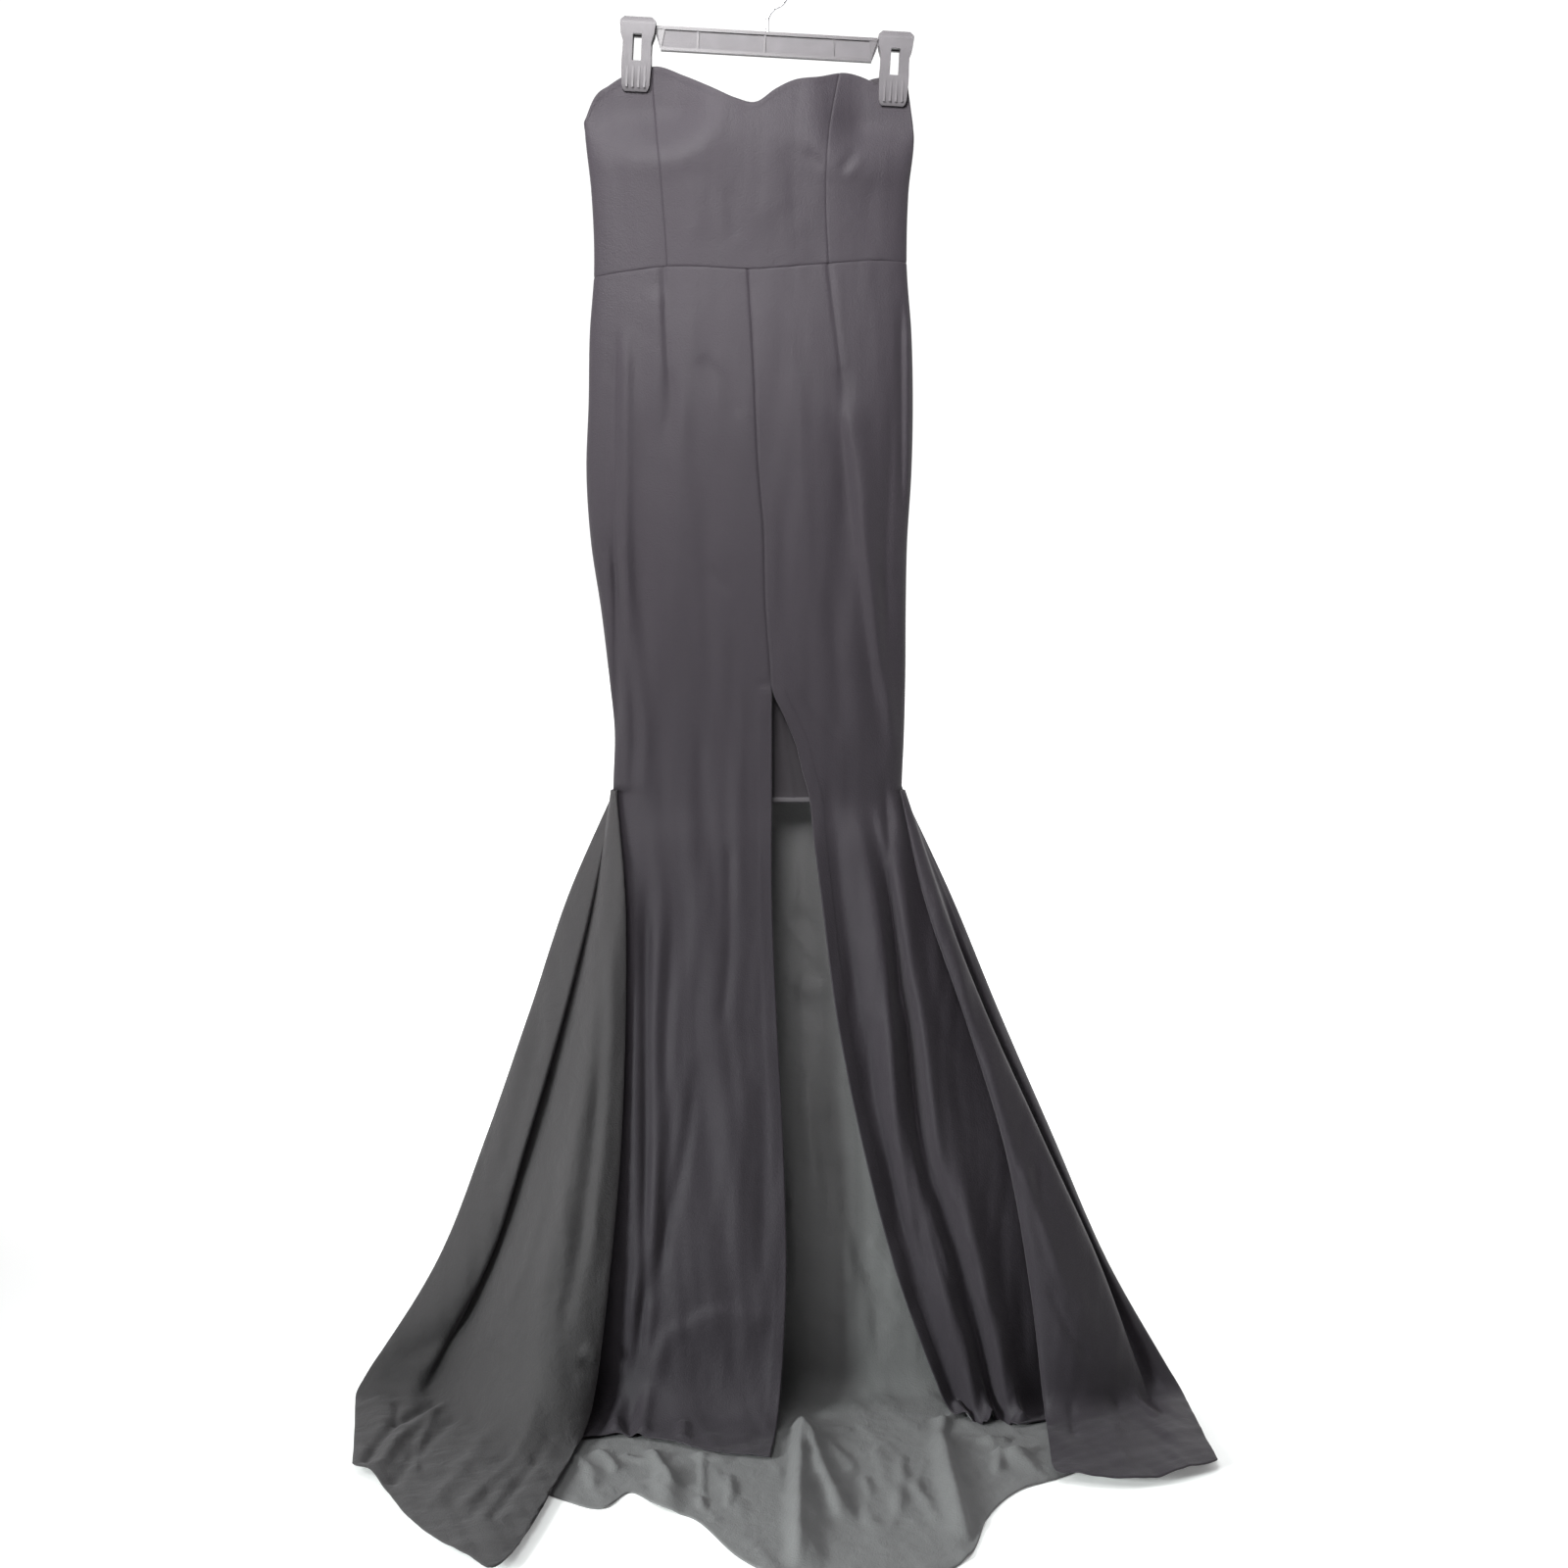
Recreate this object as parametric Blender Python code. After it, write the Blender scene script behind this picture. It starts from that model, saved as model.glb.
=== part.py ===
"""Strapless fishtail dress on a clip hanger, hung by its hook with the hem and train on the floor.

Frame: +X to the viewer's right, the viewer on the -Y side, +Z up. The origin is where the inside of
the hook rests on its rail. Tables are in millimetres and heights are measured up from the floor.
"""
import math

import bmesh
import bpy
import numpy as np

MM = 0.001

# Driving sizes, in millimetres
FLOOR_DROP = 1506.0        # from the rail under the hook down to the floor
WALL = 1.6                 # cloth wall
SEAM_GAP = 0.3             # between two pieces at a seam
LAP = WALL + SEAM_GAP      # one wall lying on another, middle to middle
KNEE = 672.0               # height where the side flares are set in
FLARE_TOP = 648.0          # height where the flares' solids start, just under the knee
SLIT_TOP = 776.0           # height of the top of the front slit
LINING_HEM = 657.0         # height of the lining's hem
ROUNDNESS = 2.3            # how boxy the flattened tube's section is
BAR_TOP = -64.0            # top edge of the hanger bar at the hook's stem, from the rail
TILT = math.radians(3.15)  # the bar hangs this much lower on the right


def columns(names, *rows):
    """Named columns of a short table, one row for each section, fold or point."""
    return dict(zip(names.split(), np.array(rows, float).T))


def smooth(knots, values, at):
    """Smooth curve through the values at the knots. Between two knots it is the cubic that has their
    two values and two slopes, and a knot's slope is the mean of those on its two sides."""
    knots, values, at = (np.asarray(a, float) for a in (knots, values, at))
    if knots[0] > knots[-1]:
        knots, values = knots[::-1], values[::-1]
    slopes = np.gradient(values, knots, axis=0)
    at = np.clip(at, knots[0], knots[-1])
    cell = np.clip(np.searchsorted(knots, at, side="right") - 1, 0, len(knots) - 2)
    span = knots[cell + 1] - knots[cell]
    f = (at - knots[cell]) / span
    wide = f.shape + (1,) * (values.ndim - 1)
    f, span = f.reshape(wide), span.reshape(wide)
    ends = values[cell] * (1 + 2 * f) * (1 - f) ** 2 + values[cell + 1] * f * f * (3 - 2 * f)
    return ends + span * (slopes[cell] * f * (1 - f) ** 2 - slopes[cell + 1] * f * f * (1 - f))


def ease(f):
    """Soft step: 0 below 0, 1 above 1, level at both ends."""
    f = np.clip(f, 0, 1)
    return f * f * (3 - 2 * f)


# The flattened tube of the dress: where its sides are and how far it stands out before and behind
TUBE = columns(
    "height left right front back",
    (1400, -186, 141, 12, 9),
    (1367, -187, 146, 18, 10),
    (1344, -186, 149, 21, 10),
    (1283, -180, 144, 21, 9),
    (1206, -178, 143, 20, 9),
    (1142, -183, 148, 25, 11),
    (1071, -185, 150, 30, 13),
    (1000, -188, 149, 32, 14),
    (928, -184, 145, 33, 14),
    (857, -174, 144, 33, 13),
    (785, -166, 144, 33, 12),
    (729, -161, 143, 33, 11),
    (KNEE, -163, 141, 33, 11),
    (560, -163, 141, 33, 11),
)

# Height of the bodice's top edge in front (heart-shaped) and behind, and of the waist seam
NECKLINE = columns(
    "x height", (-187, 1352), (-178, 1374), (-160, 1390), (-132, 1404), (-114, 1408), (-84, 1398),
    (-58, 1386), (-32, 1374), (-11, 1370), (8, 1383), (26, 1392), (52, 1396), (81, 1401), (100, 1396),
    (114, 1389), (130, 1389), (142, 1390))
BACK_EDGE = columns(
    "x height", (-187, 1352), (-160, 1382), (-132, 1400), (-100, 1388), (-40, 1366), (0, 1360),
    (50, 1370), (88, 1388), (112, 1397), (130, 1396), (142, 1390))
WAIST = columns(
    "x height", (-178, 1198), (-143, 1203), (-105, 1207), (-3, 1205), (34, 1208), (72, 1211),
    (112, 1214), (143, 1213))

# Princess seams of the bodice, by their share of the way from the neckline to the waist
PRINCESS = columns(
    "share left right", (0, -118, 73), (0.3, -113, 63), (0.5, -109, 60), (0.75, -105, 60),
    (1, -102, 63))

# Middle front seam of the skirt and the two free edges of the slit under it
MIDDLE = columns(
    "height left right", (1206, -20, -20), (1142, -16, -16), (1070, -12, -12), (999, -9, -9),
    (938, -4, -4), (863, -2, -2), (809, 2, 2), (SLIT_TOP, 4, 5), (743, 4, 20), (718, 4, 30),
    (689, 4, 37), (KNEE, 4, 42), (600, 4, 51), (560, 4, 56))

# Rounded bulges of the two bust cups: centre, spread and how far they stand out
CUPS = columns("x height wide tall out", (-98, 1338, 40, 36, 8), (92, 1340, 36, 36, 15))

# Long soft folds down the tube: side of the dress, distance in from it, run of heights, depth, width
TUBE_FOLDS = columns(
    "side inward top bottom depth width",
    (-1, 21, 1165, 640, 4.0, 6),
    (-1, 33, 1165, 640, -3.0, 7),
    (1, 22, 1110, 760, 4.0, 6),
    (1, 48, 1060, 690, -3.0, 13),
    (1, 70, 1070, 800, 2.5, 11),
)

# Fold lines of the front panels below the knee. Each row is one line: its share of the way from the
# side to the slit, its x at three heights and on the floor, its y at a height and on the floor, the
# end of the line at the hem, the radius of its bend on the floor, and how high it lies there.
FRONT_LEFT_FOLDS = columns(
    "share x560 x430 x290 x150 x0 y640 y560 y0 hem_x hem_y bend lift",
    (0.00, -166, -168, -176, -190, -204, -9, -24, -48, -196, -118, 40, 5),
    (0.25, -142, -141, -147, -156, -162, -27, -36, -62, -156, -112, 50, 7),
    (0.50, -98, -98, -104, -110, -112, -34, -40, -74, -106, -126, 65, 6),
    (0.75, -50, -48, -46, -50, -54, -35, -42, -70, -56, -150, 70, 5),
    (1.00, 4, 9, 16, 19, 12, -35, -39, -68, 3, -166, 70, 6),
)
FRONT_RIGHT_FOLDS = columns(
    "share x560 x430 x290 x150 x0 y640 y560 y0 hem_x hem_y bend lift",
    (0.00, 174, 218, 260, 290, 308, -9, -20, -34, 312, -62, 18, 5),
    (0.14, 152, 183, 216, 250, 276, -24, -36, -56, 278, -82, 22, 5),
    (0.26, 136, 160, 184, 226, 258, -32, -46, -72, 260, -86, 22, 6),
    (0.38, 126, 144, 166, 208, 242, -31, -34, -48, 246, -66, 18, 5),
    (0.52, 112, 129, 149, 190, 226, -36, -45, -70, 232, -84, 22, 7),
    (0.76, 84, 98, 122, 158, 206, -34, -36, -52, 222, -72, 22, 5),
    (1.00, 56, 73, 101, 138, 192, -38, -46, -62, 212, -76, 22, 6),
)

# Fold lines of the side flares, from the seam on the front panel round to the seam on the back
FLARE_LEFT_FOLDS = columns(
    "x560 x430 x290 x150 x0 y560 y430 y290 y150 y0 hem_x hem_y bend lift",
    (-149, -149, -155, -168, -187, -47, -58, -68, -80, -92, -234, -386, 70, 9.5),
    (-161, -172, -192, -216, -246, -47, -64, -78, -92, -106, -274, -384, 100, 13),
    (-178, -206, -240, -276, -320, -38, -36, -38, -44, -50, -330, -322, 60, 11),
    (-193, -222, -263, -308, -370, -28, -17, -14, -12, -9, -372, -252, 30, 10),
    (-203, -240, -284, -334, -412, -19, -21, -24, -22, -14, -398, -208, 24, 13.5),
    (-209, -253, -302, -357, -450, -7, -5, -4, -4, -4, -414, -184, 20, 8),
)
FLARE_RIGHT_FOLDS = columns(
    "x560 x430 x290 x150 x0 y560 y430 y290 y150 y0 hem_x hem_y bend lift",
    (158, 199, 238, 264, 284, -46, -60, -70, -76, -80, 280, -200, 30, 9.5),
    (166, 209, 257, 306, 344, -48, -64, -74, -76, -66, 306, -218, 30, 13),
    (175, 220, 279, 344, 398, -40, -48, -54, -48, -28, 350, -226, 26, 11),
    (183, 231, 289, 352, 416, -28, -14, -10, -12, -12, 388, -219, 24, 10),
    (188, 239, 298, 360, 434, -18, -19, -20, -18, -12, 418, -206, 22, 13.5),
    (190, 244, 304, 364, 448, -7, -5, -4, -4, -4, 452, -176, 20, 8),
)

# The back below the knee: x and y of its two sides, then the train's hem from left to right
BACK_SIDES = columns(
    "height left right y", (KNEE, -163, 141, 0), (644, -166, 145, 9), (560, -192, 170, 11),
    (430, -238, 222, 12), (290, -286, 282, 12), (150, -334, 342, 11), (0, -384, 400, 10))
TRAIN_HEM = columns(
    "share x y", (0, -352, -150), (0.1, -286, -200), (0.2, -212, -243), (0.28, -156, -270),
    (0.33, -132, -236), (0.37, -104, -270), (0.43, -66, -296), (0.49, -24, -370), (0.55, 22, -412),
    (0.62, 84, -430), (0.69, 146, -412), (0.74, 186, -370), (0.8, 212, -290), (0.87, 248, -232),
    (0.93, 290, -205), (1, 370, -148))
BACK_BEND = 30.0
BACK_LIFT = WALL / 2

# Folds in the train's floor part: from one end to the other, height and width
TRAIN_FOLDS = columns(
    "x1 y1 x2 y2 height width", (36, -60, 38, -400, 8, 13), (44, -70, 80, -300, 7, 12),
    (190, -100, 182, -330, 8, 14), (-110, -170, -90, -280, 7, 13), (240, -120, 268, -190, 6, 12))


def superellipse(x, left, right):
    """1 in the middle of a section and 0 at its two sides, with a boxy round between."""
    across = np.clip(np.abs((2 * x - left - right) / (right - left)), 0, 1)
    return (1 - across ** ROUNDNESS) ** (1 / ROUNDNESS)


def clip_place(side):
    """Middle of a clip's top on the tilted bar, side -1 for left and 1 for right."""
    reach = CLIP_REACH * side
    return reach * math.cos(TILT), BAR_TOP - reach * math.sin(TILT)


# Clips of the hanger, in the bar's own frame: height above the bar's top edge, half width, and
# the depths of the front and inner faces. The jaws close on the cloth at the bottom.
CLIP_REACH = 131.0
CLIP_HOLE = 4.5
CLIP_LEVELS = columns(
    "height half front inner hole",
    (7, 14, 8.0, 0.2, 0), (3, 18, 9.5, 0.2, 0), (0.4, 18, 10, 0.2, 0), (0.3, 18, 10, 4.5, 0),
    (-10, 17, 10, 4.5, 1), (-17, 14.5, 9.5, 4.5, 1), (-27, 14.5, 9, 4.2, 1), (-36, 15, 8.5, 3.6, 0),
    (-44, 15, 8, 2.3, 0), (-60, 14.2, 7, 2.3, 0), (-64, 13, 6, 2.3, 0), (-66, 11, 4.8, 2.3, 0))
JAW_LOW = -66.0            # bottom of the jaws, from the bar's top edge
PINCH_HALF = 27.0          # half width of the cloth held flat in a clip
PINCH_FADE = 46.0          # how far from the jaw the cloth stays drawn in
PINCHED = WALL / 2 + SEAM_GAP  # middle of each wall inside a jaw, from the bar's middle plane


def looseness(x, height):
    """0 where a clip holds the cloth flat, rising to 1 where the cloth hangs free of it."""
    free = np.ones(np.broadcast(x, height).shape)
    for side in (-1, 1):
        top_x, top_z = clip_place(side)
        middle = top_x + JAW_LOW * math.sin(TILT)
        jaw_low = top_z + JAW_LOW * math.cos(TILT) + FLOOR_DROP
        beside = np.maximum(np.abs(x - middle) - PINCH_HALF, 0)
        below = np.maximum(jaw_low - 12 - height, 0)
        free = np.minimum(free, ease(np.hypot(beside, below) / PINCH_FADE))
    return free


def tube_y(x, height, left, right, front=True):
    """Depth of the tube's front or back at a place: the section's round, the cups and the long folds,
    all drawn in to the middle plane near the clips."""
    bow = superellipse(x, left, right)
    if not front:
        out = smooth(TUBE["height"], TUBE["back"], height) * bow + SEAM_GAP / 2
        free = looseness(x, height)
        return free * out + (1 - free) * PINCHED
    out = smooth(TUBE["height"], TUBE["front"], height) * bow
    for cup_x, cup_height, wide, tall, stand in zip(*CUPS.values()):
        out = out + stand * np.exp(-((x - cup_x) / wide) ** 2 - ((height - cup_height) / tall) ** 2)
    for side, inward, top, bottom, depth, width in zip(*TUBE_FOLDS.values()):
        edge = left if side < 0 else right
        run = ease((top - height) / 120) * ease((height - bottom) / 60)
        away = x - (edge - side * inward)
        out = out - depth * run * bow * np.exp(-(away / width) ** 2)
    free = looseness(x, height)
    return -(free * (out + SEAM_GAP / 2) + (1 - free) * PINCHED)


def grid_normals(points):
    """Unit normals of a grid of points, from the steps along its rows and down its columns."""
    down = np.gradient(points, axis=0)
    across = np.gradient(points, axis=1)
    normals = np.cross(across, down)
    return normals / np.maximum(np.linalg.norm(normals, axis=2, keepdims=True), 1e-9)


def trim(points, first_column=True, last_column=True, first_row=False, last_row=False):
    """The grid with half a seam gap taken off the edges that meet another piece."""
    points = points.copy()
    edges = ((first_column, 0, 1, 1), (last_column, -1, -2, 1), (first_row, 0, 1, 0),
             (last_row, -1, -2, 0))
    for wanted, edge, inner, axis in edges:
        if not wanted:
            continue
        line = points[:, edge] if axis else points[edge]
        step = (points[:, inner] if axis else points[inner]) - line
        line += step * (SEAM_GAP / 2 / np.maximum(np.linalg.norm(step, axis=1, keepdims=True), 1e-6))
    return points


def plastic(name, colour, roughness, metallic=0.0):
    material = bpy.data.materials.new(name)
    material.use_nodes = True
    shader = material.node_tree.nodes["Principled BSDF"]
    shader.inputs["Base Color"].default_value = (*colour, 1)
    shader.inputs["Roughness"].default_value = roughness
    shader.inputs["Metallic"].default_value = metallic
    return material


def add_mesh(name, points, faces, colour, roughness, metallic=0.0):
    """One named object from points in millimetres measured from the rail, with its own material."""
    mesh = bpy.data.meshes.new(name)
    mesh.from_pydata([tuple(p) for p in np.asarray(points) * MM], [], faces)
    shell = bmesh.new()
    shell.from_mesh(mesh)
    bmesh.ops.recalc_face_normals(shell, faces=shell.faces)
    shell.to_mesh(mesh)
    shell.free()
    mesh.materials.append(plastic(name, colour, roughness, metallic))
    mesh.shade_smooth()
    mesh.set_sharp_from_angle(angle=math.radians(50))
    item = bpy.data.objects.new(name, mesh)
    bpy.context.collection.objects.link(item)
    return item


CLOTH = (0.022, 0.020, 0.022)


def add_cloth(name, points, normals=None, wall=WALL):
    """A cloth wall: the grid moved out and in by half the wall along its normals, closed round its
    four edges. Points are in millimetres with z as a height above the floor."""
    if normals is None:
        normals = grid_normals(points)
    points = points - np.array([0, 0, FLOOR_DROP])
    rows, across = points.shape[:2]
    outer = (points + normals * wall / 2).reshape(-1, 3)
    inner = (points - normals * wall / 2).reshape(-1, 3)
    index = np.arange(rows * across).reshape(rows, across)
    a, b, c, d = index[:-1, :-1], index[:-1, 1:], index[1:, 1:], index[1:, :-1]
    face_a = np.stack([a, d, c, b], -1).reshape(-1, 4)
    face_b = np.stack([a, b, c, d], -1).reshape(-1, 4) + rows * across
    rim = np.concatenate([index[0], index[1:, -1], index[-1, -2::-1], index[-2:0:-1, 0]])
    after = np.roll(rim, -1)
    face_c = np.stack([rim, after, after + rows * across, rim + rows * across], -1)
    faces = np.concatenate([face_a, face_b, face_c]).tolist()
    return add_mesh(name, np.concatenate([outer, inner]), faces, CLOTH, 0.75)


# The bodice: one ring of columns round the body, cut at the seams into its panels
def bodice():
    rows = np.linspace(0, 1, 9)
    side_rows = {"left": 1352 + (1198 - 1352) * rows, "right": 1390 + (1213 - 1390) * rows}
    left = smooth(TUBE["height"], TUBE["left"], side_rows["left"])
    right = smooth(TUBE["height"], TUBE["right"], side_rows["right"])
    seam_left = smooth(PRINCESS["share"], PRINCESS["left"], rows)
    seam_right = smooth(PRINCESS["share"], PRINCESS["right"], rows)
    near_side = np.linspace(0, 1, 8)[:, None] ** 1.7
    plain = np.linspace(0, 1, 12)[:, None]
    front_x = np.concatenate([
        left + (seam_left - left) * near_side,
        (seam_left + (seam_right - seam_left) * plain)[1:],
        (right + (seam_right - right) * near_side)[::-1][1:]]).T
    turn = (1 - np.cos(np.linspace(0, math.pi, 19)[:, None])) / 2
    back_x = (left + (right - left) * turn).T

    def place(x, edge, front):
        top = smooth(edge["x"], edge["height"], x[0])
        low = smooth(WAIST["x"], WAIST["height"], x[-1])
        height = top + (low - top) * rows[:, None]
        y = tube_y(x, height, left[:, None], right[:, None], front)
        return np.stack([x, y, height], -1)

    front, back = place(front_x, NECKLINE, True), place(back_x, BACK_EDGE, False)
    return front, back


def meet_at_side(front, front_normals, back, back_normals):
    """Two walls made to meet square to each other along a side seam: their normals are shared where
    the tube is open, and kept apart where a clip holds the walls flat on each other."""
    shared = front_normals + back_normals
    size = np.linalg.norm(shared, axis=1, keepdims=True)
    shared = shared / np.maximum(size, 1e-9)
    open_tube = ease((size - 0.4) / 0.8)
    for wall, normals, way in ((front, front_normals, -1), (back, back_normals, 1)):
        mixed = normals + (shared - normals) * open_tube
        normals[:] = mixed / np.linalg.norm(mixed, axis=1, keepdims=True)
        wall[:, 1] = way * (SEAM_GAP / 2 + WALL / 2 * np.abs(normals[:, 1]))


def add_bodice():
    front, back = bodice()
    front_normals, back_normals = grid_normals(front), -grid_normals(back)
    for edge in (0, -1):
        meet_at_side(front[:, edge], front_normals[:, edge], back[:, edge], back_normals[:, edge])
    cuts = {"bodice_front_left": slice(0, 8), "bodice_front_centre": slice(7, 19),
            "bodice_front_right": slice(18, 26)}
    for name, cut in cuts.items():
        outer_side = name != "bodice_front_centre"
        add_cloth(name, trim(front[:, cut], last_row=True,
                             first_column=not (outer_side and cut.start == 0),
                             last_column=not (outer_side and cut.start > 0)),
                  front_normals[:, cut])
    add_cloth("bodice_back", trim(back, False, False, last_row=True), back_normals)


def row_heights():
    """Shares down the hanging part, the bend and the floor part of a skirt panel's rows."""
    upper = np.linspace(0, 1, 9)
    lower = np.concatenate([[0.036, 0.09], np.linspace(0.17, 0.83, 7)])
    bend = np.array([0.89, 0.93, 0.965, 1.0])
    ground = np.array([0.12, 0.28, 0.5, 0.75, 1.0])
    return upper, np.concatenate([lower, bend]), ground


def hang_and_lie(drop, ground, lie, full_drop, lie_length, bend):
    """Lets a hanging line run over on to the floor. The run of a line is its drop and then its length
    on the floor, and the corner between them is a parabola that starts one bend radius before it.
    Gives the drop that is left to hang and the share of the floor part that is used."""
    run = np.concatenate([drop * full_drop, full_drop + ground[:, None] * lie_length])
    past = run - full_drop
    rounded = (past + bend) ** 2 / (4 * bend)
    lying = np.where(past < -bend, 0, np.where(past > bend, past, rounded))
    lying[-1] = np.maximum(lying[-1], lie_length)
    return run - lying, lying / np.maximum(lie_length, 1e-6)


def fold_rows(folds, drops, ground, top, tops):
    """Points of each fold line, rows by lines: from its place at the top it follows its x and y at
    the table's heights, then bends and runs along the floor to its place at the hem."""
    lie = np.hypot(folds["hem_x"] - folds["x0"], folds["hem_y"] - folds["y0"])
    full = top - folds["lift"]
    left_drop, share = hang_and_lie(drops[:, None], ground, lie, full, lie, folds["bend"])
    levels_x = [top] + [float(n[1:]) for n in folds if n[0] == "x"]
    levels_y = [top] + [float(n[1:]) for n in folds if n[0] == "y"]
    rows = []
    for line in range(len(lie)):
        height = top - left_drop[:, line]
        along = (height - folds["lift"][line]) / full[line] * top
        xs = [tops[line][0]] + [folds[n][line] for n in folds if n[0] == "x"]
        ys = [tops[line][1]] + [folds[n][line] for n in folds if n[0] == "y"]
        x = smooth(levels_x, xs, along) + (folds["hem_x"][line] - folds["x0"][line]) * share[:, line]
        y = smooth(levels_y, ys, along) + (folds["hem_y"][line] - folds["y0"][line]) * share[:, line]
        rows.append(np.stack([x, y, height], -1))
    return np.array(rows)


def skirt_front(side):
    """One front skirt panel as a grid: rows from the waist to the hem, columns from the side seam to
    the middle. Above the knee it is half the tube, below it runs through the panel's fold lines."""
    folds = FRONT_LEFT_FOLDS if side < 0 else FRONT_RIGHT_FOLDS
    near = "left" if side < 0 else "right"
    share = np.linspace(0, 1, 13 if side < 0 else 17) ** 1.35
    upper, lower, ground = row_heights()

    def tube_part(height_of):
        left = smooth(TUBE["height"], TUBE["left"], height_of)
        right = smooth(TUBE["height"], TUBE["right"], height_of)
        edge = left if side < 0 else right
        x = edge + (smooth(MIDDLE["height"], MIDDLE[near], height_of) - edge) * share
        return np.stack([x, tube_y(x, height_of, left, right), height_of + 0 * x], -1)

    at_waist = tube_part(np.full((1, 1), 1206.0))[0]
    waist = smooth(WAIST["x"], WAIST["height"], at_waist[:, 0])
    heights = waist + (KNEE - waist) * upper[:, None]
    top_part = tube_part(heights)
    low_heights = KNEE - KNEE * lower[:, None]
    low_tube = tube_part(np.maximum(low_heights, 560.0))
    at_knee = tube_part(np.full((1, 1), KNEE))[0]
    tops = [np.array([np.interp(s, share, at_knee[:, 0]), np.interp(s, share, at_knee[:, 1])])
            for s in folds["share"]]
    lines = fold_rows({k: v for k, v in folds.items() if k != "share"}, lower, ground, KNEE, tops)
    low_part = smooth(folds["share"], lines, share).transpose(1, 0, 2)
    blend = ease((KNEE - low_heights) / 60)[:, :, None]
    hang = len(lower)
    kept = (1 - blend) * ease((share[None, :, None] - 0.03) / 0.25)
    low_part[:hang, :, :2] += (low_tube[:, :, :2] - low_part[:hang, :, :2]) * kept
    return np.concatenate([top_part, low_part]), len(upper)


def train_lift(x, y):
    """Height added to the train on the floor by its folds: a soft ridge along each one."""
    lift = np.zeros(np.broadcast(x, y).shape)
    for x1, y1, x2, y2, height, width in zip(*TRAIN_FOLDS.values()):
        length = math.hypot(x2 - x1, y2 - y1)
        along = ((x - x1) * (x2 - x1) + (y - y1) * (y2 - y1)) / length
        off = ((x - x1) * (y2 - y1) - (y - y1) * (x2 - x1)) / length
        ends = ease(along / 50) * ease((length - along) / 60 + 0.35)
        lift += height * ends * np.exp(-(off / width) ** 2)
    return lift


def skirt_back():
    """The back panel: rows from the waist to the train's hem, columns from left to right."""
    upper, lower, ground = row_heights()
    turn = np.linspace(0, 1, 27)
    dense = (1 - np.cos(turn * math.pi)) / 2
    share = 0.55 * dense + 0.45 * turn

    def tube_part(height_of):
        left = smooth(TUBE["height"], TUBE["left"], height_of)
        right = smooth(TUBE["height"], TUBE["right"], height_of)
        x = left + (right - left) * share
        return np.stack([x, tube_y(x, height_of, left, right, False), height_of + 0 * x], -1)

    waist = smooth(WAIST["x"], WAIST["height"], tube_part(np.full((1, 1), 1206.0))[0][:, 0])
    top_part = tube_part(waist + (KNEE - waist) * upper[:, None])
    hem = np.stack([smooth(TRAIN_HEM["share"], TRAIN_HEM[n], share) for n in "xy"], -1)
    sides = {n: BACK_SIDES[n] for n in ("left", "right", "y")}
    ground_x = sides["left"][-1] + (sides["right"][-1] - sides["left"][-1]) * share
    ground_y = np.full(share.shape, sides["y"][-1])
    lie = np.hypot(hem[:, 0] - ground_x, hem[:, 1] - ground_y)
    full = KNEE - BACK_LIFT
    drop, used = hang_and_lie(lower[:, None], ground, lie, full + 0 * lie, lie, BACK_BEND)
    height = KNEE - drop
    along = (height - BACK_LIFT) / full * KNEE
    left, right, low_y = (smooth(BACK_SIDES["height"], sides[n], along) for n in ("left", "right", "y"))
    x = left + (right - left) * share + (hem[:, 0] - ground_x) * used
    tube = tube_y(x, np.full(x.shape, KNEE), TUBE["left"][-2], TUBE["right"][-2], False)
    opened = ease((KNEE - along) / 26)
    y_hang = tube * (1 - opened) + low_y * opened
    y = y_hang + (hem[:, 1] - ground_y) * used
    z = height + train_lift(x, y) * ease((used - 0.1) / 0.25)
    return np.concatenate([top_part, np.stack([x, y, z], -1)]), len(upper)


def flare(side, front_panel, back_panel, upper_rows):
    """A side flare as a grid: its first column lies on the front panel's edge and its last one on the
    back panel's, and its fold lines fan out from the knee between them."""
    folds = FLARE_LEFT_FOLDS if side < 0 else FLARE_RIGHT_FOLDS
    edge = 0 if side < 0 else -1
    inner = 1 if side < 0 else -2
    lower, ground = row_heights()[1:]
    start = int(np.searchsorted(lower, 1 - FLARE_TOP / KNEE))
    knee_x = TUBE["left" if side < 0 else "right"][-2]
    count = len(folds["x560"])
    turn = np.radians(np.linspace(20, 170, count))
    tops = np.stack([knee_x + side * 6 * np.sin(turn), -8 - 9 * np.cos(turn)], -1)
    fan = fold_rows(folds, lower, ground, KNEE, tops)
    seam_front = lapped(front_panel[upper_rows:], 0, 1)
    seam_back = lapped(back_panel[upper_rows:], edge, inner)
    lines = np.concatenate([[seam_front], fan, [seam_back]])
    knots = np.arange(len(lines), dtype=float)
    across = np.linspace(0, len(lines) - 1, 3 * (len(lines) - 1) + 1)
    return smooth(knots, lines, across).transpose(1, 0, 2)[start:]


def lapped(panel, edge, inner):
    """A line just inside a panel's edge, moved off it by one lap to the side that faces forward where
    it hangs and up where it lies."""
    across = panel[:, inner] - panel[:, edge]
    line = panel[:, edge] + across * 0.6
    normal = np.cross(across, np.gradient(line, axis=0))
    normal /= np.linalg.norm(normal, axis=1, keepdims=True)
    return line + normal * np.sign(normal[:, 2:] - normal[:, 1:2]) * LAP


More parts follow.
